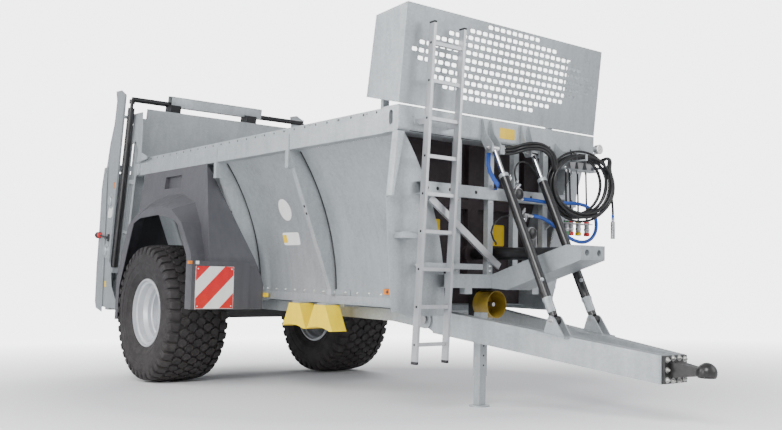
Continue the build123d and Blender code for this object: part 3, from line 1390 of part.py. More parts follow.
def step_bar():
    """The step across the foot of the frame's right posts."""
    y0, y1, z0, z1 = STEP_BAR
    front = ladder_x(z0) - SEAT
    bar = block(-10, front, y0, y1, z0, z1)
    return bar - block(-4, front - 6, y0 - 1, y1 + 1, z0 - 1, z1 - 6)


# ---- build, park and write -----------------------------------------------------------------------
def two(left):
    """A left-hand piece and its mirror image in one node."""
    return Compound(list(left.solids()) + list(mirror_y(left).solids()))


def gather(*pieces):
    """Separate solids in one node."""
    return Compound([solid for piece in pieces for solid in piece.solids()])


node("floor", floor())
node("side_walls", two(side_wall()))
node("side_rails", gather(two(top_rail()), two(sill()), *[chock_holder(x) for x in CHOCK_X]))
node("ribs", two(ribs()))
node("chassis", chassis_rail() + mirror_y(chassis_rail()) + list(cross_bearers().solids()))
node("axle", gather(axle(), springs()))
node("fixed_pins", gather(hinge_pins(), strut_pins()))
node("front_top_beam", front_top_beam())
node("front_frame", gather(front_posts(), front_beams(), corner_plate(LEFT_CORNER),
                          mirror_y(corner_plate(RIGHT_CORNER)), corner_brace(), step_bar(), block(*HOSE_CLAMP)))
node("push_wall", push_wall())
node("headboard", gather(headboard(), two(head_cheek())))
node("push_barrel", push_barrel())
for index in range(1, len(STAGE_R)):
    node(f"push_stage_{index}", push_stage(index))
node("cylinder_box", cylinder_box())
node("ladder", ladder())
node("drawbar", drawbar())
node("coupling", coupling())
node("saddle_pins", saddle_pins())
node("jack_sleeve", jack_sleeve())
node("jack_leg", jack_leg())
node("strut_barrels", gather(strut_barrel(1), strut_barrel(-1)))
node("strut_rods", gather(strut_rod(1), strut_rod(-1)))
node("pto_guard", pto_guard())
node("pto_stub", pto_stub())
node("transfer_box", transfer_box())
node("drive_shaft", drive_shaft())
node("gate", gate())
node("gate_lift", gather(gate_lift(), two(lift_rod())))
node("lift_channel", lift_channel())
node("gate_barrels", two(gate_barrel()))
node("rear_posts", rear_posts())
node("unit_frame", unit_frame())
node("lower_drum", drum(DRUM_LOW, 1))
node("upper_drum", drum(DRUM_HIGH, -1))
node("hood", hood())
node("mudguards", two(mudguard()))
node("guard_panels", two(guard_panel()))
node("warning_plates", two(warning_plate()))
node("wheel_chocks", Compound([chock(x) for x in CHOCK_X]))
node("lamps", lamps())
node("hose_rack", hose_rack())
node("valves", valves())
node("couplers", couplers())
node("feed_lines", feed_lines())
node("hose_coil", hose_coil())
node("hose_bundle", hose("bundle", BUNDLE, BUNDLE_R))
node("hose_tail", hose("hanging hose", TAIL, TAIL_R))
node("hose_plug", hose_plug())
node("blue_hose", hose("blue hose", BLUE, BLUE_R))
node("loop_hose", hose("loop hose", LOOP, LOOP_R))
node("brace", brace())
for name, side in (("left", 1), ("right", -1)):
    node(name + "_tyre", tyre(side))
    node(name + "_wheel", wheel(side))
    node(name + "_disc", disc(side))


def park():
    """The placing that stands the body frame on the ground, centred over its own outline."""
    turn = Pos(AXLE_X, 0, WHEEL_R) * Rot(0, PARK_PITCH, 0) * Pos(-AXLE_X, 0, -WHEEL_R)
    boxes = [(turn * solid).bounding_box() for solid in NODES.values()]
    low = [min(tuple(b.min)[i] for b in boxes) for i in range(3)]
    high = [max(tuple(b.max)[i] for b in boxes) for i in range(3)]
    return Pos(-(low[0] + high[0]) / 2, -(low[1] + high[1]) / 2, -low[2]) * turn


PLACE = park()
os.makedirs("parts", exist_ok=True)
for name, solid in NODES.items():
    export_step(PLACE * solid, f"parts/{name}.step")
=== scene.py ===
import sys
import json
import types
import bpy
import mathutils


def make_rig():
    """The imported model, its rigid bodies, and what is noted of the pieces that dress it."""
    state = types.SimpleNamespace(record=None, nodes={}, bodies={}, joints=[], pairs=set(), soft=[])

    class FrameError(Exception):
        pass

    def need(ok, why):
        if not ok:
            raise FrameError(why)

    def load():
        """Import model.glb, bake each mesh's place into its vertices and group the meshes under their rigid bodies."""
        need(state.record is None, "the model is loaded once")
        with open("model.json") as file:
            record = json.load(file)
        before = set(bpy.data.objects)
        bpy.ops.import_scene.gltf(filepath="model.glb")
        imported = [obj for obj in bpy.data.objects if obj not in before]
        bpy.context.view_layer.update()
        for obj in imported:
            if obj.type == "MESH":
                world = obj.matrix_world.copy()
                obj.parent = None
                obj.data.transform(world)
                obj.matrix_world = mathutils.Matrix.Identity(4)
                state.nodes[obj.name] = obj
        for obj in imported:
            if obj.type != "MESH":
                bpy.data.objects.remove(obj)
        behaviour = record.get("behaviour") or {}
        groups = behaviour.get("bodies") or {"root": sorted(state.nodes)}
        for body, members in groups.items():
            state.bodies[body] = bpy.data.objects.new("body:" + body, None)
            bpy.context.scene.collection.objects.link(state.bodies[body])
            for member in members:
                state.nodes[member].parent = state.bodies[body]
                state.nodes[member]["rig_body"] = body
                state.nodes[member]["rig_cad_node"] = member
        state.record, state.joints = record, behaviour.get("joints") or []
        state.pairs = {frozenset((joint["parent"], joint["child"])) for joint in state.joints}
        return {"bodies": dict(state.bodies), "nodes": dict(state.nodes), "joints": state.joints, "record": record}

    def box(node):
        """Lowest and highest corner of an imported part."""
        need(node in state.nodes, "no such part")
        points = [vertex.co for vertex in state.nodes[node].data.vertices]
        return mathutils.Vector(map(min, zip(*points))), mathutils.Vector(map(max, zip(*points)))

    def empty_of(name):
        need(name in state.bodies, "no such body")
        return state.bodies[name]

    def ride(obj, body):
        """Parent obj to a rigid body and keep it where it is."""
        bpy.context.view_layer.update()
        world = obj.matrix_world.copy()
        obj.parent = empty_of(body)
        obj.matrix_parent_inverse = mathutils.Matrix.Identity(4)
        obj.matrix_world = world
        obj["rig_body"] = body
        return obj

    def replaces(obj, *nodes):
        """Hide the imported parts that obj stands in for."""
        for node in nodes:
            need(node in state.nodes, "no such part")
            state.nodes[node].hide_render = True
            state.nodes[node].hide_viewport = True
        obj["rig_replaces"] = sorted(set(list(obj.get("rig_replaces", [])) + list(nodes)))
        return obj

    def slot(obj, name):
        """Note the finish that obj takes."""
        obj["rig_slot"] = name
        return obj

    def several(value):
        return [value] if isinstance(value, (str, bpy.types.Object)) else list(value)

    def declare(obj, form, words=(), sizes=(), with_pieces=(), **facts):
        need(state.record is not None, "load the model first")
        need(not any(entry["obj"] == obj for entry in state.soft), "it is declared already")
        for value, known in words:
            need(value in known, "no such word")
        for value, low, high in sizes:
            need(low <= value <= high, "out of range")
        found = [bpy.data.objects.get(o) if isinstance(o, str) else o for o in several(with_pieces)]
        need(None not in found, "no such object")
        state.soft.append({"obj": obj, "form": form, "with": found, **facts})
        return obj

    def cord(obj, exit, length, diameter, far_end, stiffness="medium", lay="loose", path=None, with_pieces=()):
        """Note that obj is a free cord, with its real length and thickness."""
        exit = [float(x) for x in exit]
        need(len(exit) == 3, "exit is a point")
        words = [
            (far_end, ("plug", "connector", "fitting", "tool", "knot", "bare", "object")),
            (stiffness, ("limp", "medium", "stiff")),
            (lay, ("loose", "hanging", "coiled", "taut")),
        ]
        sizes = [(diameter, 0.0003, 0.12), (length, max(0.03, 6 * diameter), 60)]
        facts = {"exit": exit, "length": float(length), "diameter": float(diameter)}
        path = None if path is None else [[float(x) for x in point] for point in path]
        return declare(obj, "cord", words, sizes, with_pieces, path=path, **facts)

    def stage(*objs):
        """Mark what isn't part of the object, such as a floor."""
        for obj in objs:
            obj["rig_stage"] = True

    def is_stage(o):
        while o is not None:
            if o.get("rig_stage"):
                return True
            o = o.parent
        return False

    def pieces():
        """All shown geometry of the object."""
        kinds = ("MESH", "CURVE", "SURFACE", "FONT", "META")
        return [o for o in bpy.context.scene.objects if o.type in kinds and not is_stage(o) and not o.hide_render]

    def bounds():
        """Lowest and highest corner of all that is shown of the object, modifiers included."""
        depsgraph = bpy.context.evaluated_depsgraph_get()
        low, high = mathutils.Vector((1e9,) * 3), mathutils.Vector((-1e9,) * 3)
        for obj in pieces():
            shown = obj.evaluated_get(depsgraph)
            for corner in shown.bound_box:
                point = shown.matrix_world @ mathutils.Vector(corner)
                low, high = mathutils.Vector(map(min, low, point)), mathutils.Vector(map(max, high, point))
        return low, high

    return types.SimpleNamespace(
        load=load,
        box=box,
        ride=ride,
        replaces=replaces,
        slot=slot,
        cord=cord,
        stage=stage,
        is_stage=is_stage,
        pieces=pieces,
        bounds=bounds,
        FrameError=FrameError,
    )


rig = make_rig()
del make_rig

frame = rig.load()

import json
import math

import bmesh
import bpy
from mathutils import Matrix, Vector
from mathutils.geometry import delaunay_2d_cdt

bl_info = {
    "name": "Manure Spreader Looks",
    "version": (1, 0, 0),
    "blender": (4, 5, 0),
    "location": "3D View > Sidebar > Spreader",
    "description": "Materials, tyres, hoses and fittings for a towed manure spreader",
    "category": "Object",
}

CAD_BOX = [list(corner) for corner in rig.bounds()]

# ---- the machine's own frame, in which every size below is given ---------------------------------
# x runs forward from the front frame, y to the left and z up from the ground, in millimetres.
PARKED = math.radians(2.6)       # nose-down on the parking leg
WHEEL_R = 754
AXLE_X = -4080
tyre_low, tyre_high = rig.box("right_tyre")
AXLE = Vector(((tyre_low.x + tyre_high.x) / 2, 0, (tyre_low.z + tyre_high.z) / 2))
STAND = (
    Matrix.Translation(AXLE)
    @ Matrix.Rotation(PARKED, 4, "Y")
    @ Matrix.Diagonal((0.001, 0.001, 0.001, 1))
    @ Matrix.Translation((-AXLE_X, 0, -WHEEL_R))
)
RIGHT, LEFT = -1, 1


def spot(x, y, z):
    """A point of the machine in the row frame, in metres."""
    return STAND @ Vector((x, y, z))


# ---- mesh helpers ----------------------------------------------------------------------------------
def add_face(bm, verts):
    """A face, unless two of its corners are the same."""
    if len(set(verts)) == len(verts) and bm.faces.get(verts) is None:
        return bm.faces.new(verts)
    return None


def add_rings(bm, rings, closed=True, caps=True):
    """Skin between rings of points; each ring has as many points as the next."""
    loops = [[bm.verts.new(p) for p in ring] for ring in rings]
    count = len(loops[0])
    for low, high in zip(loops, loops[1:]):
        for i in range(count if closed else count - 1):
            j = (i + 1) % count
            add_face(bm, (low[i], low[j], high[j], high[i]))
    if caps:
        add_face(bm, loops[0][::-1])
        add_face(bm, loops[-1])
    return loops


def across(direction):
    """Two unit vectors square to a direction."""
    direction = Vector(direction).normalized()
    helper = Vector((0, 0, 1)) if abs(direction.z) < 0.9 else Vector((1, 0, 0))
    side = direction.cross(helper).normalized()
    return side, side.cross(direction).normalized()


def circle(centre, direction, radius, sides, turn=0.0):
    """Points of a ring about a direction."""
    side, up = across(direction)
    angles = [turn + 2 * math.pi * i / sides for i in range(sides)]
    return [Vector(centre) + (side * math.cos(a) + up * math.sin(a)) * radius for a in angles]


def turned(bm, start, direction, profile, sides=32, caps=True, turn=0.0):
    """A turned piece: profile holds (distance along, radius) pairs from the start."""
    direction = Vector(direction).normalized()
    rings = [circle(Vector(start) + direction * along, direction, radius, sides, turn)
             for along, radius in profile]
    return add_rings(bm, rings, caps=caps)


def turned_loop(bm, start, direction, profile, sides=48):
    """A turned piece whose profile closes on itself, such as a ring."""
    direction = Vector(direction).normalized()
    rings = [circle(Vector(start) + direction * along, direction, radius, sides) for along, radius in profile]
    add_rings(bm, rings + [rings[0]], caps=False)


def block(bm, low, high, edge=0.0):
    """A box between two corners with its edges broken by edge."""
    x0, y0, z0 = (min(a, b) for a, b in zip(low, high))
    x1, y1, z1 = (max(a, b) for a, b in zip(low, high))
    e = min(edge, (x1 - x0) / 3, (y1 - y0) / 3, (z1 - z0) / 3)
    rings = []
    for z, inset in ((z0, e), (z0 + e, 0), (z1 - e, 0), (z1, e)):
        ax, bx, ay, by = x0 + inset, x1 - inset, y0 + inset, y1 - inset
        c = e if e else 0.01
        near, far = [(ax + c, ay), (bx - c, ay), (bx, ay + c)], [(bx - c, by), (ax + c, by), (ax, by - c)]
        outline = near + [(bx, by - c)] + far + [(ax, ay + c)]
        rings.append([Vector(p + (z,)) for p in outline])
    if not e:
        rings = rings[1:3]
    add_rings(bm, rings)


def slab(bm, outline, thickness, edge=0.0):
    """A flat plate: its outline in space, pushed along its normal, with a broken front edge."""
    points = [Vector(p) for p in outline]
    normal = (points[1] - points[0]).cross(points[2] - points[1]).normalized()
    centre = sum(points, Vector()) / len(points)
    rings = [points, [p + normal * (thickness - edge) for p in points]]
    if edge:
        shrink = [(centre - p).normalized() * edge * 1.4 for p in points]
        rings.append([p + normal * thickness + s for p, s in zip(points, shrink)])
    add_rings(bm, rings)


def bolt(bm, at, direction, radius=9, washer=True):
    """A hexagon head with its washer and the dome of its end."""
    direction = Vector(direction).normalized()
    base = Vector(at)
    if washer:
        turned(bm, base - direction, direction,
               [(0, radius * 1.55), (3, radius * 1.55), (3.6, radius * 1.4)], 16)
    turned(bm, base, direction, [(0, radius), (radius * 0.75, radius), (radius * 0.95, radius * 0.82)], 6)
    turned(bm, base, direction, [(radius * 0.8, radius * 0.55), (radius * 1.5, radius * 0.5),
                                 (radius * 1.65, radius * 0.3)], 10)


def weld_line(bm, start, end, radius=4):
    """A rippled weld bead between two points."""
    start, end = Vector(start), Vector(end)
    steps = max(4, int((end - start).length / 12))
    profile = []
    for i in range(steps + 1):
        along = (end - start).length * i / steps
        profile.append((along, radius * (1.0 if i % 2 else 0.8)))
    turned(bm, start, end - start, profile, 8)


def finish_piece(name, bm, finish, body, slot=None, angle=35):
    """The mesh as an object that stands with the machine, rides on a body and wears a finish."""
    bm.transform(STAND)
    bmesh.ops.recalc_face_normals(bm, faces=bm.faces)
    mesh = bpy.data.meshes.new(name)
    bm.to_mesh(mesh)
    bm.free()
    mesh.polygons.foreach_set("use_smooth", [True] * len(mesh.polygons))
    mesh.set_sharp_from_angle(angle=math.radians(angle))
    obj = bpy.data.objects.new(name, mesh)
    bpy.context.scene.collection.objects.link(obj)
    obj.data.materials.append(bpy.data.materials[finish])
    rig.ride(obj, body)
    if slot:
        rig.slot(obj, slot)
    return obj


# ---- finishes --------------------------------------------------------------------------------------
def new_group(name, inputs, outputs):
    """A shader node group with named sockets; gives the tree, its inputs node and its outputs node."""
    tree = bpy.data.node_groups.new(name, "ShaderNodeTree")
    for label, kind, value in inputs:
        socket = tree.interface.new_socket(label, in_out="INPUT", socket_type=kind)
        if value is not None:
            socket.default_value = value
    for label, kind in outputs:
        tree.interface.new_socket(label, in_out="OUTPUT", socket_type=kind)
    return tree, tree.nodes.new("NodeGroupInput"), tree.nodes.new("NodeGroupOutput")


def node(tree, kind, links=(), **settings):
    """A node with its settings and its (input, source socket or value) pairs."""
    made = tree.nodes.new(kind)
    for key, value in settings.items():
        setattr(made, key, value)
    for key, source in links:
        if isinstance(source, bpy.types.NodeSocket):
            tree.links.new(source, made.inputs[key])
        else:
            made.inputs[key].default_value = source
    return made


def spread(tree, value, low, high, out_low, out_high):
    """Map a value from one range to another, held at its ends."""
    made = node(tree, "ShaderNodeMapRange", [("Value", value)])
    for key, number in (("From Min", low), ("From Max", high), ("To Min", out_low), ("To Max", out_high)):
        made.inputs[key].default_value = number
    return made.outputs["Result"]


def maths(tree, operation, first, second):
    """One sum of two values."""
    made = node(tree, "ShaderNodeMath", [(0, first), (1, second)], operation=operation)
    return made.outputs[0]


def spangle_group():
    """Zinc crystals: flat grains of slightly different brightness over slow clouds."""
    tree, given, out = new_group(
        "Zinc Spangle",
        [("Vector", "NodeSocketVector", None), ("Grain Size", "NodeSocketFloat", 60.0),
         ("Clouds", "NodeSocketFloat", 2.0)],
        [("Shade", "NodeSocketFloat"), ("Clouding", "NodeSocketFloat")],
    )
    cells = node(tree, "ShaderNodeTexVoronoi",
                 [("Vector", given.outputs["Vector"]), ("Scale", given.outputs["Grain Size"])])
    cell = node(tree, "ShaderNodeSeparateColor", [("Color", cells.outputs["Color"])])
    clouds = node(tree, "ShaderNodeTexNoise",
                  [("Vector", given.outputs["Vector"]), ("Scale", given.outputs["Clouds"]), ("Detail", 5.0),
                   ("Roughness", 0.55)])
    cloud = spread(tree, clouds.outputs["Fac"], 0.3, 0.7, 0.0, 1.0)
    mixed = maths(tree, "MULTIPLY", cell.outputs["Red"], 0.35)
    shade = maths(tree, "ADD", mixed, maths(tree, "MULTIPLY", cloud, 0.65))
    tree.links.new(shade, out.inputs["Shade"])
    tree.links.new(cloud, out.inputs["Clouding"])
    return tree


def grime_group():
    """Dust and splashes: more towards the ground and on what faces up."""
    tree, given, out = new_group(
        "Road Dust",
        [("Vector", "NodeSocketVector", None), ("Reach", "NodeSocketFloat", 1.2),
         ("Amount", "NodeSocketFloat", 0.3)],
        [("Cover", "NodeSocketFloat")],
    )
    place = node(tree, "ShaderNodeSeparateXYZ", [("Vector", given.outputs["Vector"])])
    surface = node(tree, "ShaderNodeNewGeometry")
    facing = node(tree, "ShaderNodeSeparateXYZ", [("Vector", surface.outputs["Normal"])])
    blots = node(tree, "ShaderNodeTexNoise",
                 [("Vector", given.outputs["Vector"]), ("Scale", 9.0), ("Detail", 8.0),
                  ("Roughness", 0.65)])
    low = node(tree, "ShaderNodeMapRange",
               [("Value", place.outputs["Z"]), ("From Min", given.outputs["Reach"]), ("From Max", 0.0)])
    up = spread(tree, facing.outputs["Z"], 0.3, 1.0, 0.0, 0.4)
    where = maths(tree, "ADD", low.outputs["Result"], up)
    torn = maths(tree, "MULTIPLY", where, spread(tree, blots.outputs["Fac"], 0.38, 0.66, 0.1, 1.0))
    cover = node(tree, "ShaderNodeMath", [(0, torn), (1, given.outputs["Amount"])], operation="MULTIPLY",
                 use_clamp=True)
    tree.links.new(cover.outputs[0], out.inputs["Cover"])
    return tree


def grain_group():
    """Fine height for a surface: moulded grain with longer waves under it."""
    tree, given, out = new_group(
        "Surface Grain",
        [("Vector", "NodeSocketVector", None), ("Fineness", "NodeSocketFloat", 300.0),
         ("Waves", "NodeSocketFloat", 6.0), ("Wave Share", "NodeSocketFloat", 0.3)],
        [("Height", "NodeSocketFloat")],
    )
    fine = node(tree, "ShaderNodeTexNoise",
                [("Vector", given.outputs["Vector"]), ("Scale", given.outputs["Fineness"]),
                 ("Detail", 3.0)])
    waves = node(tree, "ShaderNodeTexNoise",
                 [("Vector", given.outputs["Vector"]), ("Scale", given.outputs["Waves"]), ("Detail", 2.0)])
    mix = node(tree, "ShaderNodeMix",
               [("Factor", given.outputs["Wave Share"]), ("A", fine.outputs["Fac"]),
                ("B", waves.outputs["Fac"])], data_type="FLOAT")
    tree.links.new(mix.outputs["Result"], out.inputs["Height"])
    return tree


def streak_group():
    """Runs and rub marks: noise drawn out down the surface."""
    tree, given, out = new_group(
        "Rain Streaks",
        [("Vector", "NodeSocketVector", None), ("Width", "NodeSocketFloat", 14.0)],
        [("Streak", "NodeSocketFloat")],
    )
    drawn = node(tree, "ShaderNodeVectorMath", [(0, given.outputs["Vector"]), (1, (1.0, 1.0, 0.08))],
                 operation="MULTIPLY")
    noise = node(tree, "ShaderNodeTexNoise",
                 [("Vector", drawn.outputs[0]), ("Scale", given.outputs["Width"]), ("Detail", 4.0)])
    tree.links.new(spread(tree, noise.outputs["Fac"], 0.42, 0.72, 0.0, 1.0), out.inputs["Streak"])
    return tree


# name, light colour, dark colour, roughness low and high, metallic, grain size, clouds,
# fineness, bump strength, bump distance in mm, dust, coat
FINISHES = (
    ("Galvanised Steel", "zinc", 0.74, 0.36, 0.56, 0.55, 55, 1.6, 160, 0.05, 0.6, 0.10, 0.0),
    ("Galvanised Frame", "zinc_frame", 0.72, 0.34, 0.54, 0.55, 70, 3.0, 200, 0.06, 0.6, 0.14, 0.0),
    ("Extruded Aluminium", "aluminium", 0.90, 0.28, 0.42, 0.70, 20, 5.0, 260, 0.03, 0.3, 0.05, 0.0),
    # Black paint, also painting the shade inside the front frame's holes.
    ("Black Paint", "black", 0.70, 0.30, 0.46, 0.0, 40, 5.0, 120, 0.06, 0.4, 0.20, 0.25),
    ("Hard Chrome", "chrome", 0.88, 0.08, 0.18, 1.0, 12, 3.0, 80, 0.01, 0.2, 0.03, 0.0),
    ("Silver Rim Paint", "rim", 0.88, 0.30, 0.42, 0.35, 60, 4.0, 200, 0.03, 0.3, 0.16, 0.2),
    ("Dark Panel Paint", "panel", 0.70, 0.50, 0.70, 0.0, 30, 4.0, 90, 0.08, 0.6, 0.20, 0.0),
    ("Tyre Rubber", "rubber", 0.62, 0.62, 0.86, 0.0, 30, 6.0, 140, 0.18, 0.8, 0.16, 0.0),
    ("Guard Plastic", "guard", 0.86, 0.28, 0.40, 0.0, 30, 3.0, 420, 0.22, 0.5, 0.16, 0.0),
    ("Yellow Plastic", "yellow", 0.88, 0.42, 0.55, 0.0, 24, 4.0, 300, 0.08, 0.4, 0.06, 0.0),
    ("Ochre Plastic", "ochre", 0.80, 0.36, 0.52, 0.0, 24, 4.0, 300, 0.08, 0.4, 0.16, 0.1),
    ("Hose Rubber", "hose", 0.66, 0.36, 0.52, 0.0, 24, 8.0, 500, 0.10, 0.3, 0.06, 0.1),
    ("Blue Sleeve", "blue", 0.72, 0.36, 0.52, 0.0, 24, 9.0, 600, 0.14, 0.3, 0.05, 0.1),
    ("Machined Steel", "steel", 0.80, 0.28, 0.44, 0.9, 20, 8.0, 300, 0.04, 0.2, 0.06, 0.0),
    ("Zinc Bolts", "bolt", 0.80, 0.26, 0.40, 0.85, 30, 12.0, 400, 0.03, 0.2, 0.05, 0.0),
    ("White Label", "white", 0.95, 0.30, 0.40, 0.0, 8, 4.0, 200, 0.02, 0.1, 0.04, 0.2),
    ("Yellow Label", "label", 0.93, 0.32, 0.42, 0.0, 8, 4.0, 200, 0.02, 0.1, 0.04, 0.2),
    ("Amber Lens", "amber", 0.70, 0.10, 0.18, 0.0, 60, 20.0, 200, 0.05, 0.3, 0.02, 0.6),
    ("Red Cap", "red", 0.80, 0.30, 0.42, 0.0, 24, 9.0, 300, 0.05, 0.2, 0.04, 0.2),
    ("Green Cap", "green", 0.80, 0.30, 0.42, 0.0, 24, 9.0, 300, 0.05, 0.2, 0.04, 0.2),
    # Dark rubber of the lamp arms and caps, also painting the shade in holes, rung ends and the gaps at the ribs.
    ("Seal Rubber", "seal", 0.70, 0.56, 0.72, 0.0, 24, 9.0, 260, 0.08, 0.3, 0.06, 0.0),
)


def dark_of(colour, share):
    """A colour at a share of its brightness."""
    return tuple(c * share for c in colour[:3]) + (1.0,)


def make_finish(row, colours, groups):
    """One material: spangle and clouds in its colour and roughness, grain in its bump, dust over all."""
    name, key, darker, rough_low, rough_high, metallic, grain, clouds, fine, bump, height, dust, coat = row
    material = bpy.data.materials.new(name)
    material.use_nodes = True
    tree = material.node_tree
    shader = tree.nodes["Principled BSDF"]
    place = node(tree, "ShaderNodeTexCoord").outputs["Object"]
    light = tuple(getattr(colours, key)) + (1.0,)
    material.diffuse_color = light

    def use(group, **values):
        """One of the shared groups, fed with the object's own coordinates."""
        made = node(tree, "ShaderNodeGroup", node_tree=groups[group])
        tree.links.new(place, made.inputs["Vector"])
        for label, value in values.items():
            made.inputs[label.replace("_", " ")].default_value = value
        return made

    spangle = use("Zinc Spangle", Grain_Size=float(grain), Clouds=float(clouds))
    streaks = use("Rain Streaks", Width=18.0)
    cover = use("Road Dust", Reach=1.1, Amount=float(dust))
    height_map = use("Surface Grain", Fineness=float(fine), Waves=8.0, Wave_Share=0.25)
    tone = node(tree, "ShaderNodeMix", [("Factor", spangle.outputs["Shade"])], data_type="RGBA")
    tone.inputs[6].default_value = dark_of(light, darker)
    tone.inputs[7].default_value = light
    run = node(tree, "ShaderNodeMix",
               [("Factor", maths(tree, "MULTIPLY", streaks.outputs["Streak"], 0.16))], data_type="RGBA",
               blend_type="MULTIPLY")
    tree.links.new(tone.outputs[2], run.inputs[6])
    run.inputs[7].default_value = dark_of(light, 0.7)
    soil = node(tree, "ShaderNodeMix", [("Factor", cover.outputs["Cover"])], data_type="RGBA")
    tree.links.new(run.outputs[2], soil.inputs[6])
    soil.inputs[7].default_value = tuple(colours.dust) + (1.0,)
    tree.links.new(soil.outputs[2], shader.inputs["Base Color"])
    rough = spread(tree, spangle.outputs["Shade"], 0.0, 1.0, rough_high, rough_low)
    tree.links.new(maths(tree, "ADD", rough, maths(tree, "MULTIPLY", cover.outputs["Cover"], 0.3)),
                   shader.inputs["Roughness"])
    shader.inputs["Metallic"].default_value = metallic
    shader.inputs["Coat Weight"].default_value = coat
    bumps = node(tree, "ShaderNodeBump",
                 [("Height", height_map.outputs["Height"]), ("Strength", bump * 4),
                  ("Distance", height / 1000)])
    tree.links.new(bumps.outputs["Normal"], shader.inputs["Normal"])
    return material


# ---- what a user may change ------------------------------------------------------------------------
def colour_prop(name, description, default):
    """A colour that the panel shows as a swatch."""
    return bpy.props.FloatVectorProperty(name=name, description=description, default=default, size=3,
                                         min=0.0, max=1.0, subtype="COLOR")


class SpreaderColours(bpy.types.PropertyGroup):
    zinc: colour_prop("Galvanised", "Zinc on the body's sheets", (0.43, 0.465, 0.485))
    zinc_frame: colour_prop("Galvanised frame", "Zinc on the rails, ribs and posts", (0.51, 0.545, 0.565))
    aluminium: colour_prop("Aluminium", "Ladder and its stay", (0.60, 0.61, 0.63))
    # Black paint, also the colour of the painted shade inside the front frame's holes.
    black: colour_prop("Black paint", "Cylinders, coupling and gearbox", (0.011, 0.011, 0.012))
    chrome: colour_prop("Chrome", "Rods of the cylinders", (0.78, 0.79, 0.80))
    rim: colour_prop("Rims", "Silver of the wheels", (0.64, 0.66, 0.69))
    panel: colour_prop("Push wall", "Wall that pushes the load", (0.048, 0.034, 0.038))
    rubber: colour_prop("Tyres", "Tread and side walls", (0.021, 0.018, 0.019))
    guard: colour_prop("Guards", "Mudguards and the panels behind the wheels", (0.080, 0.080, 0.090))
    yellow: colour_prop("Yellow plastic", "Chocks and the shaft's guard", (1.0, 0.72, 0.0))
    hose: colour_prop("Hoses", "Rubber of the black hoses", (0.009, 0.009, 0.010))
    blue: colour_prop("Blue hoses", "Sleeve of the blue hoses", (0.008, 0.075, 0.42))
    steel: colour_prop("Steel", "Bare shafts and valves", (0.55, 0.55, 0.56))
    bolt: colour_prop("Bolts", "Heads of the bolts", (0.62, 0.62, 0.60))
    white: colour_prop("White", "White labels and stripes", (0.82, 0.82, 0.80))
    ochre: colour_prop("Shaft guard", "Ochre plastic of the shaft's guard", (0.40, 0.27, 0.03))
    label: colour_prop("Yellow labels", "Blank yellow labels", (0.90, 0.60, 0.0))
    amber: colour_prop("Amber", "Side lamps", (0.90, 0.26, 0.01))
    red: colour_prop("Red", "Red stripes, caps and reflectors", (0.70, 0.015, 0.02))
    green: colour_prop("Green", "Green caps", (0.03, 0.30, 0.09))
    # Dark rubber, also the colour of the painted shade in holes, rung ends and the gaps at the ribs.
    seal: colour_prop("Seals", "Strips along the ribs", (0.030, 0.030, 0.032))
    dust: colour_prop("Dust", "Dust low on the machine", (0.20, 0.18, 0.16))
    floor: colour_prop("Floor", "Ground and background", (0.86, 0.86, 0.87))


class SpreaderTyreSizes(bpy.types.PropertyGroup):
    pitches: bpy.props.IntProperty(name="Blocks round",
                                   description="Tread blocks round the tyre in one row", default=40, min=12,
                                   max=80)
    rows: bpy.props.IntProperty(name="Rows", description="Staggered rows of blocks across the tread",
                                default=7, min=3, max=11)
    depth: bpy.props.FloatProperty(name="Tread depth", description="Depth of the grooves", default=0.024,
                                   min=0.002, max=0.06, unit="LENGTH")
    groove: bpy.props.FloatProperty(name="Groove width", description="Gap between blocks", default=0.021,
                                    min=0.004, max=0.05, unit="LENGTH")
    nuts: bpy.props.IntProperty(name="Wheel nuts", description="Nuts that hold each wheel", default=10,
                                min=4, max=16)


class SpreaderFittingSizes(bpy.types.PropertyGroup):
    hose_diameter: bpy.props.FloatProperty(name="Hose diameter", description="Black hydraulic hoses",
                                           default=0.026, min=0.008, max=0.04, unit="LENGTH")
    bolt_pitch: bpy.props.FloatProperty(name="Bolt pitch",
                                        description="Spacing of the bolts along the sill", default=0.176,
                                        min=0.05, max=0.6, unit="LENGTH")
    sun: bpy.props.FloatProperty(name="Light", description="Strength of the soft key light", default=1.0,
                                 min=0.1, max=5.0)


class SpreaderSettings(bpy.types.PropertyGroup):
    colours: bpy.props.PointerProperty(type=SpreaderColours)
    tyres: bpy.props.PointerProperty(type=SpreaderTyreSizes)
    fittings: bpy.props.PointerProperty(type=SpreaderFittingSizes)


# ---- stage -----------------------------------------------------------------------------------------
VIEW_FROM = (5305, -5406, 1277)
VIEW_ANGLES = (141.708, 3.564, -1.294)   # yaw, pitch and roll in degrees
VIEW_LENS = 41.04                        # on a 36 mm sensor
GROUND_R, COVE_R, COVE_TOP = 14.0, 10.0, 26.0
GROUND_X = -2.0                          # middle of the ground, under the hold
LIGHTS = (                               # name, place, what it faces, size, power
    ("Key", (7.5, -7.5, 8.0), (-1.5, 0, 1.2), 5.0, 1150),
    ("Side Fill", (-6.0, -10.0, 6.5), (-3.0, 0, 1.4), 6.0, 620),
    ("Back Light", (-9.0, 8.0, 8.0), (-2.0, 0, 1.6), 6.0, 600),
    ("Low Fill", (1.5, -8.0, 1.6), (-2.2, -1.0, 0.8), 3.5, 260),
    ("Front Fill", (8.0, 3.0, 4.0), (0.0, 0, 1.5), 5.0, 180),
)


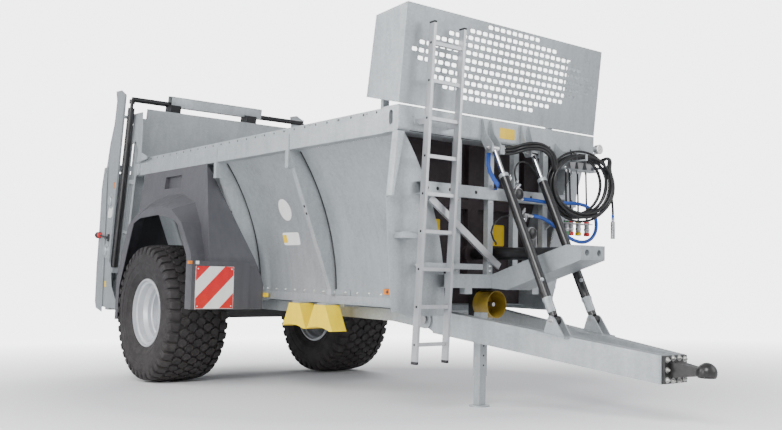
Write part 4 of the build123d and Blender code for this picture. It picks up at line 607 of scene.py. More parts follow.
class SPREADER_OT_stage(bpy.types.Operator):
    """Set the camera, the pale ground and the soft lights"""
    bl_idname = "spreader.stage"
    bl_label = "Stage"

    def execute(self, context):
        settings = context.scene.spreader
        yaw, pitch, roll = (math.radians(angle) for angle in VIEW_ANGLES)
        forward = Vector((math.cos(yaw) * math.cos(pitch), math.sin(yaw) * math.cos(pitch), math.sin(pitch)))
        right = forward.cross(Vector((0, 0, 1))).normalized()
        up = right.cross(forward)
        across_axis = right * math.cos(roll) - up * math.sin(roll)
        up_axis = right * math.sin(roll) + up * math.cos(roll)
        turn = Matrix((across_axis, up_axis, -forward)).transposed().to_4x4()
        data = bpy.data.cameras.new("Camera")
        data.lens, data.sensor_width = VIEW_LENS, 36.0
        data.clip_end = 200.0
        camera = bpy.data.objects.new("Camera", data)
        camera.matrix_world = Matrix.Translation(spot(*VIEW_FROM)) @ Matrix.Rotation(PARKED, 4, "Y") @ turn
        context.scene.collection.objects.link(camera)
        context.scene.camera = camera

        floor = bpy.data.materials.new("Pale Floor")
        floor.use_nodes = True
        shader = floor.node_tree.nodes["Principled BSDF"]
        place = node(floor.node_tree, "ShaderNodeTexCoord").outputs["Object"]
        mottled = node(floor.node_tree, "ShaderNodeTexNoise",
                       [("Vector", place), ("Scale", 0.5), ("Detail", 3.0)])
        floor.node_tree.links.new(spread(floor.node_tree, mottled.outputs["Fac"], 0.3, 0.7, 0.70, 0.85),
                                  shader.inputs["Roughness"])
        shader.inputs["Base Color"].default_value = tuple(settings.colours.floor) + (1.0,)
        apart = node(floor.node_tree, "ShaderNodeVectorMath", [(0, place)], operation="LENGTH")
        glow = spread(floor.node_tree, apart.outputs["Value"], 2.5, 13.0, 0.0, 1.0)
        seen = node(floor.node_tree, "ShaderNodeLightPath").outputs["Is Camera Ray"]
        floor.node_tree.links.new(maths(floor.node_tree, "MULTIPLY", glow, seen),
                                  shader.inputs["Emission Color"])
        shader.inputs["Emission Strength"].default_value = 4.0
        bm = bmesh.new()
        steps = [math.radians(d) for d in range(10, 81, 10)]
        profile = [(GROUND_R, 0.0)] + [(GROUND_R + COVE_R * math.sin(a), COVE_R - COVE_R * math.cos(a))
                                       for a in steps]
        profile += [(GROUND_R + COVE_R, COVE_R), (GROUND_R + COVE_R, COVE_TOP)]
        turns = [2 * math.pi * i / 72 for i in range(72)]
        rings = [[Vector((GROUND_X + r * math.cos(t), r * math.sin(t), z)) for t in turns]
                 for r, z in profile]
        add_rings(bm, rings, caps=False)
        centre = bm.verts.new((GROUND_X, 0, 0))
        bm.verts.ensure_lookup_table()
        for i in range(72):
            bm.faces.new((centre, bm.verts[i], bm.verts[(i + 1) % 72]))
        bmesh.ops.recalc_face_normals(bm, faces=bm.faces)
        mesh = bpy.data.meshes.new("ground")
        bm.to_mesh(mesh)
        bm.free()
        mesh.polygons.foreach_set("use_smooth", [True] * len(mesh.polygons))
        ground = bpy.data.objects.new("ground", mesh)
        ground.data.materials.append(floor)
        context.scene.collection.objects.link(ground)
        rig.stage(ground)

        world = bpy.data.worlds.new("Soft Sky")
        world.use_nodes = True
        world.node_tree.nodes["Background"].inputs["Color"].default_value = (0.93, 0.95, 1.0, 1.0)
        world.node_tree.nodes["Background"].inputs["Strength"].default_value = 0.55
        context.scene.world = world
        for name, at, look, size, power in LIGHTS:
            light = bpy.data.lights.new(name, "AREA")
            light.size, light.energy = size, power * settings.fittings.sun
            lamp = bpy.data.objects.new(name, light)
            lamp.location = at
            lamp.rotation_euler = (Vector(look) - Vector(at)).to_track_quat("-Z", "Y").to_euler()
            context.scene.collection.objects.link(lamp)
        return {"FINISHED"}


# ---- finishes on the carried-over pieces -----------------------------------------------------------
WEARS = {
    "Galvanised Steel": ("floor", "side_walls", "hood", "headboard", "unit_frame", "cylinder_box"),
    "Galvanised Frame": (
        "side_rails", "ribs", "chassis", "front_top_beam", "front_frame", "drawbar", "jack_sleeve",
        "jack_leg",
        "gate", "lift_channel", "rear_posts", "lower_drum", "upper_drum", "hose_rack", "left_disc",
        "right_disc",
    ),
    "Extruded Aluminium": ("ladder", "brace"),
    "Black Paint": ("gate_lift", "push_barrel", "strut_barrels", "gate_barrels", "coupling", "transfer_box",
                    "axle"),
    "Hard Chrome": ("push_stage_1", "push_stage_2", "push_stage_3", "push_stage_4", "strut_rods",
                    "hose_plug"),
    "Silver Rim Paint": ("left_wheel", "right_wheel"),
    "Dark Panel Paint": ("push_wall",),
    "Tyre Rubber": ("left_tyre", "right_tyre"),
    "Guard Plastic": ("mudguards", "guard_panels"),
    "Yellow Plastic": ("wheel_chocks",),
    "Ochre Plastic": ("pto_guard",),
    "Hose Rubber": ("feed_lines", "hose_coil", "hose_bundle", "hose_tail", "loop_hose"),
    "Blue Sleeve": ("blue_hose",),
    "Machined Steel": ("pto_stub", "drive_shaft", "fixed_pins", "saddle_pins", "valves", "couplers"),
    "White Label": ("warning_plates",),
    "Amber Lens": ("lamps",),
}


class SPREADER_OT_finishes(bpy.types.Operator):
    """Make every finish and put one on each carried-over piece"""
    bl_idname = "spreader.finishes"
    bl_label = "Finishes"

    def execute(self, context):
        groups = {tree.name: tree for tree in (spangle_group(), grime_group(), grain_group(), streak_group())}
        for row in FINISHES:
            make_finish(row, context.scene.spreader.colours, groups)
        for finish, nodes in WEARS.items():
            for name in nodes:
                obj = bpy.data.objects[name]
                obj.data.materials.clear()
                obj.data.materials.append(bpy.data.materials[finish])
        return {"FINISHED"}


# ---- hoses -----------------------------------------------------------------------------------------
COIL_AT = (290, 621, 2044)
COIL_TURN = math.radians(25)


def coil_point(angle, radius, out=0.0, shift=0.0):
    """A point of the coil by its angle from the far side; out moves it square to the coil, shift along it."""
    u = radius * math.cos(math.radians(angle)) + shift
    return (
        COIL_AT[0] + u * math.sin(COIL_TURN) + out * math.cos(COIL_TURN),
        COIL_AT[1] + u * math.cos(COIL_TURN) - out * math.sin(COIL_TURN),
        COIL_AT[2] + radius * math.sin(math.radians(angle)),
    )


def loose(angle):
    """How far the turns fan out: tied at the hook, half as far again at the bottom."""
    return 1 + 0.4 * (1 - math.sin(math.radians(angle)))


def hose(name, points, diameter, finish, slot, replaced, length, far_end="object", lay="hanging",
         with_pieces=()):
    """A free hose along its route's points, as one smooth curve."""
    curve = bpy.data.curves.new(name, "CURVE")
    curve.dimensions = "3D"
    spline = curve.splines.new("NURBS")
    spline.points.add(len(points) - 1)
    for point, at in zip(spline.points, points):
        point.co = tuple(spot(*at)) + (1.0,)
    spline.order_u = 3
    spline.use_endpoint_u = True
    spline.resolution_u = 6
    curve.bevel_depth = diameter / 2
    curve.bevel_resolution = 4
    curve.use_fill_caps = True
    curve.materials.append(bpy.data.materials[finish])
    obj = bpy.data.objects.new(name, curve)
    bpy.context.scene.collection.objects.link(obj)
    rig.ride(obj, "machine")
    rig.slot(obj, slot)
    if replaced:
        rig.replaces(obj, *replaced)
    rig.cord(obj, exit=tuple(spot(*points[0])), length=length, diameter=diameter, far_end=far_end,
            stiffness="stiff" if diameter > 0.018 else "medium", lay=lay, with_pieces=list(with_pieces))
    return obj


def ferrule(bm, at, towards, radius, length=46, hexagon=True):
    """A crimped hose end with its nut; at is where the rubber ends, towards points along the hose."""
    towards = Vector(towards).normalized()
    base = Vector(at) - towards * 8
    grooves = []
    steps = 5
    for i in range(steps):
        along = length * i / steps
        grooves += [(along, radius + 2.6), (along + length / steps * 0.7, radius + 2.6),
                    (along + length / steps * 0.75, radius + 1.6),
                    (along + length / steps * 0.95, radius + 1.6)]
    turned(bm, base, towards, grooves, 20)
    if hexagon:
        turned(bm, base - towards * 14, towards,
               [(0, radius + 3.4), (1.5, radius + 4.6), (13, radius + 4.6), (14.5, radius + 3.4)], 6)


RACK_ENDS = (955, 985, 1015)         # where the trunk's hoses meet the rack, from the inner one out
RACK_PORT_Z = 2285
LINE_TOPS, LINE_FEET = (615, 662, 771, 886), (630, 690, 790, 905)
GAUGE = (1070, 2420)


def trunk_route(side):
    """One of the three hoses side by side: clamp, along the beam, round the coil and into the rack."""
    z_side, out = 26 * side, 28 * side
    points = [
        (60, -104.7, 2300 + z_side), (60, 5, 2300 + z_side), (160, 105, 2350 + z_side),
        (206, 235 + 0.4 * z_side, 2356 + 0.9 * z_side),
        (214, 345 + 0.8 * z_side, 2300 + 0.6 * z_side), (206 + 0.3 * out, 399 + z_side, 2214),
    ]
    angle = 164.0
    while angle <= 750:
        wave = 7 * math.sin(math.radians(2 * angle + 70 * side))
        shift = 26 * side * min(1.0, (angle - 164) / 120) * max(0.0, min(1.0, (750 - angle) / 120))
        points.append(coil_point(angle, 240 + 6 * side + 31 * (angle - 164) / 360 + wave,
                                 out * loose(angle), shift))
        angle += 22.5
    end = RACK_ENDS[side + 1]
    if side < 0:
        return points[:-1] + [(366, 880, 2200), (302, 924, 2288), (206, end - 7, 2288),
                              (165, end, RACK_PORT_Z)]
    x, y, z = coil_point(750, 290, out)
    return points + [(x - 6, y + 52, z + 88), (326, y + 105 + 0.4 * out, z + 128), (232, end - 8, 2300),
                     (165, end, RACK_PORT_Z)]


def tail_route():
    """The fourth hose: out of the rack, once round the coil and down to its plug."""
    points = [(165, 1003, 2236), (245, 1003, 2236), (345, 955, 2222)]
    angle = 20.0
    while angle >= -355:
        points.append(coil_point(angle, 322 + 24 * (angle - 20) / 380, 0.0 if angle > -100 else 6.0))
        angle -= 22.5
    return points + [(421, 905, 1900), (423, 911, 1820), (423, 911, 1745)]


BLUE_ROUTE = (
    (95, 122.3, 1905), (95, 255, 1905), (116, 400, 1893), (160, 560, 1896), (172, 720, 1904),
    (173, 868, 1890), (172, 965, 1830), (172, 1005, 1740), (171, 985, 1645), (170, 905, 1580),
    (170, 785, 1558), (170, 630, 1594), (160, 480, 1680), (100, 360, 1768), (100, 240.3, 1768),
)
LOOP_ROUTE = (
    (90, 50, 2008.3), (90, 50, 2050), (88, 25, 2116), (87, 44, 2186), (86, 103, 2227), (85, 188, 2219),
    (84, 262, 2167), (84, 335, 2080), (84, 405, 1990), (85, 472, 1895), (92, 516, 1808), (92, 516, 1730.3),
)
# Lengths of the trunk's three hoses and of the one with the plug, in metres.
TRUNK_LENGTHS = (3.55, 3.71, 3.85)
PLUG_LENGTH = 2.61


class SPREADER_OT_hoses(bpy.types.Operator):
    """Lay the hoses: three in the trunk, the one with the plug, the blue one and the thin loop"""
    bl_idname = "spreader.hoses"
    bl_label = "Hoses"

    def execute(self, context):
        diameter = context.scene.spreader.fittings.hose_diameter
        plug = bpy.data.objects["hose_plug"]
        bm = bmesh.new()
        turned_loop(bm, (422.6, 909.6, 1800), (0.01, 0.03, -1),
                    [(-4, 10.2), (0, 11.6), (24, 12.2), (46, 11.6), (50, 10.2)], 20)
        tape = finish_piece("plug_hose_tape", bm, "Blue Sleeve", "machine", "blue_rubber")
        hose("trunk_hose_middle", trunk_route(0), diameter, "Hose Rubber", "black_rubber",
             ("hose_coil", "hose_bundle"), TRUNK_LENGTHS[1], lay="coiled")
        hose("trunk_hose_inner", trunk_route(-1), diameter, "Hose Rubber", "black_rubber", (),
             TRUNK_LENGTHS[0], lay="coiled")
        hose("trunk_hose_outer", trunk_route(1), diameter, "Hose Rubber", "black_rubber", (),
             TRUNK_LENGTHS[2], lay="coiled")
        hose("plug_hose", tail_route(), diameter * 0.77, "Hose Rubber", "black_rubber", ("hose_tail",),
             PLUG_LENGTH, far_end="connector", lay="coiled", with_pieces=[plug, tape])
        hose("blue_return_hose", BLUE_ROUTE, 0.032, "Blue Sleeve", "blue_rubber", ("blue_hose",), 1.87)
        hose("thin_loop_hose", LOOP_ROUTE, 0.016, "Hose Rubber", "black_rubber", ("loop_hose",), 0.93)
        return {"FINISHED"}


# ---- tyres and wheels ------------------------------------------------------------------------------
TYRE_HALF, TRACK_HALF, RIM_R = 345, 1100, 361
CROWN_FALL = 34
RIM_LIP = ((-66, -3), (-64, 8), (-57, 13), (-50, 10), (-47, 2), (-49, -9), (-58, -8))
TREAD_HALF = 262                     # half the width of the rows of lozenges
LOZENGE = ((-1, -0.25), (-0.45, -1), (0.45, -1), (1, -0.25), (1, 0.25), (0.45, 1), (-0.45, 1), (-1, 0.25))


def crown(y):
    """Radius of the tread's surface at a distance from the tyre's middle."""
    return WHEEL_R - CROWN_FALL * abs(y / TYRE_HALF) ** 3


def carcass(bm, side, depth):
    """The tyre's casing up to the bottoms of the grooves, with rings moulded on its walls."""
    half = [
        (0, WHEEL_R - depth), (150, crown(150) - depth), (250, crown(250) - depth),
        (300, crown(300) - depth - 4), (326, WHEEL_R - 70), (334, WHEEL_R - 96), (338, WHEEL_R - 110),
        (343, WHEEL_R - 130), (345, 570), (345, 552), (341, 549), (342, 520), (339, 490), (333, 462),
        (334, 458), (330, 452), (318, 428), (303, 405), (301, 392), (288, 376), (272, 362.5),
    ]
    loop = [(-y, r) for y, r in reversed(half[1:])] + half
    inner = [(250, 371), (286, 420), (312, 520), (300, 640), (235, 690)]
    loop += inner + [(-y, r) for y, r in reversed(inner)]
    turned_loop(bm, (AXLE_X, side * TRACK_HALF, WHEEL_R), (0, 1, 0), loop, 160)


def lug(bm, side, outline, depth, sink=6):
    """One tread block over an outline of (angle, y) points, its walls drawn in towards the crown."""
    mid_a = sum(a for a, _ in outline) / len(outline)
    mid_y = sum(y for _, y in outline) / len(outline)
    rings = []
    for lift, shrink in ((-sink, 1.0), (depth - 3, 0.93), (depth, 0.88)):
        ring = []
        for a, y in outline:
            a, y = mid_a + (a - mid_a) * shrink, mid_y + (y - mid_y) * shrink
            r = crown(y) - depth + lift
            ring.append(Vector((AXLE_X + r * math.cos(a), side * TRACK_HALF + y, WHEEL_R + r * math.sin(a))))
        rings.append(ring)
    add_rings(bm, rings, caps=False)
    ring = rings[-1]
    centre = Vector((AXLE_X + crown(mid_y) * math.cos(mid_a), side * TRACK_HALF + mid_y,
                     WHEEL_R + crown(mid_y) * math.sin(mid_a)))
    bm.verts.ensure_lookup_table()
    last = bm.verts[-len(ring):]
    hub = bm.verts.new(centre)
    for i, vert in enumerate(last):
        bm.faces.new((vert, last[(i + 1) % len(last)], hub))


def shoulder_lug(bm, side, edge, angle, arc, depth):
    """A block that wraps over the shoulder and runs out on the side wall."""
    outer = [(238, crown(238)), (300, crown(300)), (327, crown(327) - 4), (338, 706), (342, 668), (344, 640)]
    inner = [(238, crown(238) - depth - 4), (296, crown(300) - depth - 10), (316, 690), (328, 660),
             (336, 640)]
    section = outer + inner[::-1]
    rings = []
    for turn, lower in ((-0.5, 0.0), (-0.42, 1.0), (0.42, 1.0), (0.5, 0.0)):
        ring = []
        for i, (y, r) in enumerate(section):
            if i < len(outer) and not lower:
                y, r = y - 2.5, r - 3
            narrow = 1.0 - 0.28 * max(0.0, (y - 300) / 44)
            a = angle + arc * turn * narrow
            ring.append(Vector((AXLE_X + r * math.cos(a), side * TRACK_HALF + edge * y,
                                WHEEL_R + r * math.sin(a))))
        rings.append(ring)
    add_rings(bm, rings)


def tyre(side, body, name, sizes):
    """One tyre with staggered lozenge blocks and blocks over its shoulders."""
    bm = bmesh.new()
    depth, groove = sizes.depth * 1000, sizes.groove * 1000
    carcass(bm, side, depth)
    pitch = 2 * math.pi / sizes.pitches
    row_step = 2 * TREAD_HALF / (sizes.rows - 1)
    along = (WHEEL_R * pitch - groove) / 2 / WHEEL_R
    across_half = row_step - groove / 2
    for row in range(1, sizes.rows - 1):
        y = -TREAD_HALF + row_step * row
        for i in range(sizes.pitches):
            a = pitch * (i + 0.5 * (row % 2))
            h, w = along, across_half / 2 + 12
            lug(bm, side, [(a + u * h, y + v * w) for u, v in LOZENGE], depth)
    for edge in (-1, 1):
        for i in range(sizes.pitches):
            shoulder_lug(bm, side, edge, pitch * (i + (0.0 if edge < 0 else 0.5 * ((sizes.rows - 1) % 2))),
                         pitch * 0.74, depth)
    obj = finish_piece(name, bm, "Tyre Rubber", body, "tyre", 32)
    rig.replaces(obj, "left_tyre" if side == LEFT else "right_tyre")
    return obj


class SPREADER_OT_tyres(bpy.types.Operator):
    """Build both tyres with their tread blocks and moulded walls"""
    bl_idname = "spreader.tyres"
    bl_label = "Tyres"

    def execute(self, context):
        sizes = context.scene.spreader.tyres
        tyre(LEFT, "wheel_left", "tyre_left_tread", sizes)
        tyre(RIGHT, "wheel_right", "tyre_right_tread", sizes)
        return {"FINISHED"}


def round_hub(hub, angle, radius, out):
    """A point of a ring of fittings about a wheel's hub, out along the axle."""
    return hub + Vector((math.cos(angle), 0, math.sin(angle))) * radius + out


class SPREADER_OT_wheels(bpy.types.Operator):
    """Add the rims' rolled lips, wheel nuts, hub caps and valves"""
    bl_idname = "spreader.wheels"
    bl_label = "Wheels"

    def execute(self, context):
        nuts = context.scene.spreader.tyres.nuts
        for side, body, word in ((LEFT, "wheel_left", "left"), (RIGHT, "wheel_right", "right")):
            hub = Vector((AXLE_X, side * TRACK_HALF, WHEEL_R))
            out = Vector((0, side, 0))
            bm = bmesh.new()
            for edge in (1, -1):
                lip = [(TYRE_HALF + y, RIM_R + r) for y, r in RIM_LIP]
                turned_loop(bm, hub, (0, edge, 0), lip, 96)
            turned_loop(bm, hub, out, [(104, RIM_R - 92), (110, RIM_R - 84), (118, RIM_R - 78),
                                       (112, RIM_R - 72), (96, RIM_R - 74)], 96)
            for i in range(8):
                at = round_hub(hub, 2 * math.pi * (i + 0.5) / 8, 205, out * 51)
                turned_loop(bm, at, out, [(-2, 21), (-2, 27), (3, 26), (3.5, 23)], 20)
            finish_piece(f"rim_lips_{word}", bm, "Silver Rim Paint", body, "silver_paint")
            bm = bmesh.new()
            for i in range(nuts):
                at = round_hub(hub, 2 * math.pi * i / nuts, 140, out * 58)
                turned(bm, at, out, [(-2, 21), (4, 21), (5, 19)], 20)
                turned(bm, at + out * 4, out, [(0, 14.5), (1, 16), (15, 16), (17, 14)], 6)
                turned(bm, at + out * 18, out, [(0, 10), (12, 10), (13.5, 8)], 12)
            valve = hub + Vector((0, 0, 285)) + out * 150
            turned(bm, valve, out + Vector((0, 0, -0.25)), [(0, 5), (30, 5), (31, 4), (44, 4)], 10)
            finish_piece(f"wheel_nuts_{word}", bm, "Zinc Bolts", body, "steel")
            bm = bmesh.new()
            turned(bm, hub + out * 40, out,
                   [(0, 66), (3, 78), (12, 78), (16, 70), (48, 64), (62, 58), (70, 44), (74, 24), (75, 6)],
                   40)
            for i in range(6):
                at = round_hub(hub, 2 * math.pi * i / 6, 71, out * 51)
                turned(bm, at, out, [(0, 6), (6, 6), (7, 4)], 6)
            finish_piece(f"hub_cap_{word}", bm, "Silver Rim Paint", body, "silver_paint")
        return {"FINISHED"}


# ---- body ------------------------------------------------------------------------------------------
WALL_BEND, WALL_FOOT, FLOOR_Z = 2270, 600, 1000


def wall_y(z):
    """The side wall's outer face at a height."""
    return WALL_FOOT + WALL_BEND - math.sqrt(WALL_BEND ** 2 - (z - FLOOR_Z) ** 2)


RIB_AT = (-1600, -3000, -4400)
SILL_BOLT_Z = 1062
RAIL_HOLES, RAIL_HOLE_PITCH = 28, 176
# Height span and steps of the dark strips painted as the shadow in the gap where each rib meets the wall.
SEAL_LOW, SEAL_HIGH, SEAL_STEPS = 1050, 2345, 24


def rib_face(z):
    """The outer edge of a rib at a height."""
    return 646 + (z - 1092) * 504 / 1263


class SPREADER_OT_walls(bpy.types.Operator):
    """Add the sill's bolts, the ribs' welds, the rail's studs and the patch plate, with dark strips painted as the
    shadow in the gaps at the ribs' feet and dark discs painted as shade in the rail's and ribs' holes
    """
    bl_idname = "spreader.walls"
    bl_label = "Walls"

    def execute(self, context):
        pitch = context.scene.spreader.fittings.bolt_pitch * 1000
        bolts, seals, welds, plates, holes = bmesh.new(), bmesh.new(), bmesh.new(), bmesh.new(), bmesh.new()
        for side in (RIGHT, LEFT):
            # Dark discs on the rail's strip: painted shade inside its holes.
            for i in range(RAIL_HOLES):
                at = (-320 - RAIL_HOLE_PITCH * i, side * 1133.8, 2536)
                turned(holes, at, (0, side, 0), [(0, 10), (0.9, 10)], 16)
            for i in range(int(5100 / pitch)):
                x = -190 - pitch * i
                if all(abs(x - rib) > 70 for rib in RIB_AT) and not -1850 < x < -1330:
                    bolt(bolts, (x, side * (wall_y(SILL_BOLT_Z) + 0.5), SILL_BOLT_Z), (0, side, 0), 9)
            for rib in RIB_AT[:2]:
                # Dark strips on the wall along both edges of the rib: painted shadow of the gap where the rib meets
                # the wall.
                for edge in (-68, 20):
                    rings = []
                    for i in range(SEAL_STEPS + 1):
                        z = SEAL_LOW + (SEAL_HIGH - SEAL_LOW) * i / SEAL_STEPS
                        y = wall_y(z)
                        rings.append([Vector(p) for p in (
                            (rib + edge - 11, side * (y + 0.4), z), (rib + edge + 11, side * (y + 0.4), z),
                            (rib + edge + 8, side * (y + 5), z), (rib + edge - 8, side * (y + 5), z),
                        )])
                    add_rings(seals, rings)
                for i in range(12):
                    z0 = 1120 + i * 100
                    weld_line(welds, (rib - 55, side * (wall_y(z0) + 3), z0),
                              (rib - 55, side * (wall_y(z0 + 55) + 3), z0 + 55), 3.5)
            for rib, half in ((RIB_AT[0], 250), (RIB_AT[1], 120)):
                block(plates, (rib - half, side * 601.5, 1037), (rib + half, side * 610, 1090), 2)
                for x in (rib - half * 0.72, rib, rib + half * 0.72):
                    bolt(bolts, (x, side * 610.3, SILL_BOLT_Z), (0, side, 0), 10)
                # Dark discs on the ribs: painted shade inside their holes.
                for z in (1784, 1850):
                    at = (rib - 24, side * (rib_face(z) + 6.2), z)
                    turned(holes, at, (0, side * 0.929, -0.371), [(0, 14), (1.2, 14)], 20)
            for x in (-420, -900, -2050, -2560, -3500, -3950, -4800):
                turned(bolts, (x, side * 1150.2, 2478), (0, side, 0), [(0, 9), (2, 9), (4, 7), (5, 3)], 12)
        # The dark discs of the rail's and ribs' holes are painted shade.
        finish_piece("rail_hole_shade", holes, "Seal Rubber", "machine", "galvanised")
        finish_piece("sill_bolts", bolts, "Zinc Bolts", "machine", "steel")
        # The dark strips along the ribs are painted shadow, in the dark rubber finish.
        finish_piece("rib_gap_shade", seals, "Seal Rubber", "machine", "black_rubber")
        finish_piece("rib_welds", welds, "Galvanised Frame", "machine", "galvanised")
        finish_piece("rib_patch_plates", plates, "Galvanised Steel", "machine", "galvanised")
        return {"FINISHED"}


def label(bm, at, along, up, width, height, thickness=1.2):
    """A blank sign with rounded corners lying on a surface."""
    at, along, up = Vector(at), Vector(along).normalized(), Vector(up).normalized()
    r = min(width, height) * 0.08
    outline = []
    for cx, cy, start in ((1, 1, 0), (-1, 1, 90), (-1, -1, 180), (1, -1, 270)):
        for step in range(4):
            a = math.radians(start + step * 30)
            u, v = cx * (width / 2 - r) + r * math.cos(a), cy * (height / 2 - r) + r * math.sin(a)
            outline.append(at + along * u + up * v)
    slab(bm, outline, thickness, 0.3)


def wall_sign(bm, x, z, half_width, half_height, side, square=2.0, lift=1.4):
    """A blank sign that follows the bend of the side wall; square 2 is round, 8 nearly square."""
    def at(angle, share, rise):
        """A point of the sign's outline, drawn in by share and lifted off the wall."""
        c, s = math.cos(angle), math.sin(angle)
        u = math.copysign(abs(c) ** (2 / square), c) * half_width * share
        v = math.copysign(abs(s) ** (2 / square), s) * half_height * share
        return Vector((x + u, side * (wall_y(z + v) + rise), z + v))

    angles = [2 * math.pi * i / 48 for i in range(48)]
    steps = ((1.0, 0.2), (1.0, lift - 0.4), (0.985, lift), (0.7, lift), (0.35, lift))
    loops = add_rings(bm, [[at(a, share, rise) for a in angles] for share, rise in steps], caps=False)
    hub = bm.verts.new(at(0.0, 0.0, lift))
    for i in range(48):
        bm.faces.new((loops[-1][i], loops[-1][(i + 1) % 48], hub))


PUSH_FACE = -380 + 0.6           # just off the face of the push wall


class SPREADER_OT_labels(bpy.types.Operator):
    """Put the blank yellow and white signs on the body"""
    bl_idname = "spreader.labels"
    bl_label = "Signs"

    def execute(self, context):
        yellow, white = bmesh.new(), bmesh.new()
        label(yellow, (0.5, 24, 2458), (0, 1, 0), (0, 0, 1), 178, 92)
        label(yellow, (-2850, -640.5, 994), (1, 0, 0), (0, 0, 1), 190, 42)
        for y, z, width, height in ((-466, 1664, 160, 116), (-466, 1502, 160, 132), (292, 1612, 190, 190)):
            label(yellow, (PUSH_FACE, y, z), (0, 1, 0), (0, 0, 1), width, height)
        for side in (RIGHT, LEFT):
            wall_sign(white, -2269, 1852, 106, 104, side)
            wall_sign(white, -2283, 1570, 150, 62, side, 9.0)
            wall_sign(yellow, -2395, 1570, 36, 40, side, 9.0, 2.4)
            for x, z in ((-5620, 1397), (-5645, 1029)):
                label(yellow, (x, side * 1277.5, z), (-side, 0, 0), (0, 0, 1), 60, 74)
            pouch = [(-5640, 1930), (-5600, 2010), (-5470, 1985), (-5450, 1900), (-5560, 1850), (-5655, 1862)]
            slab(white, [Vector((x, side * 1277.4, z)) for x, z in pouch][::-side], 9, 3)
        finish_piece("yellow_signs", yellow, "Yellow Label", "machine")
        finish_piece("white_signs", white, "White Label", "machine")
        return {"FINISHED"}


# ---- front frame -----------------------------------------------------------------------------------
class SPREADER_OT_front(bpy.types.Operator):
    """Add the front frame's bolts, pin heads, rings and welds, and dark discs painted as shade in its holes"""
    bl_idname = "spreader.front"
    bl_label = "Front Frame"

    def execute(self, context):
        bolts, dark, welds, steel = bmesh.new(), bmesh.new(), bmesh.new(), bmesh.new()
        # Black discs inside the steel rings on the cross-beam: painted shade inside its holes.
        for y in (-860, -620, 620, 860):
            turned(dark, (-0.4, y, 1935), (1, 0, 0), [(0, 15), (0.9, 15)], 20)
            turned_loop(steel, (0, y, 1935), (1, 0, 0), [(0, 15), (1.2, 15.5), (1.2, 19), (0, 20)], 20)
        # Black discs on the top beam: painted shade inside its holes.
        for y in (330, 560, 840, 1080):
            turned(dark, (0.05, y, 2400), (1, 0, 0), [(0, 11), (0.9, 11)], 16)
        for y in (-150, 150, -520, 520):
            for z in (1290, 1330, 1860, 2010, 2320):
                bolt(bolts, (-9.6, y, z), (1, 0, 0), 8)
        for side in (1, -1):
            for offset in (-64, 64):
                y = side * STRUT_Y + offset
                bolt(steel, (STRUT_TOP[0], y, STRUT_TOP[2]), (0, 1 if offset > 0 else -1, 0), 15)
                seam = y - 8 if offset < 0 else y - 24
                weld_line(welds, (2, seam, 2380), (2, seam, 2540), 4)
        for y in (-970, -662):
            bolt(bolts, (14, y, 2440), (1, 0, 0), 9)
            bolt(bolts, (14, y, 1322), (1, 0, 0), 9)
        finish_piece("front_bolts", bolts, "Zinc Bolts", "machine", "steel")
        # The black discs of the holes are painted shade, in the black paint finish.
        finish_piece("front_hole_shade", dark, "Black Paint", "machine", "black_paint")
        finish_piece("front_welds", welds, "Galvanised Frame", "machine", "galvanised")
        finish_piece("front_pins", steel, "Machined Steel", "machine", "steel")
        return {"FINISHED"}


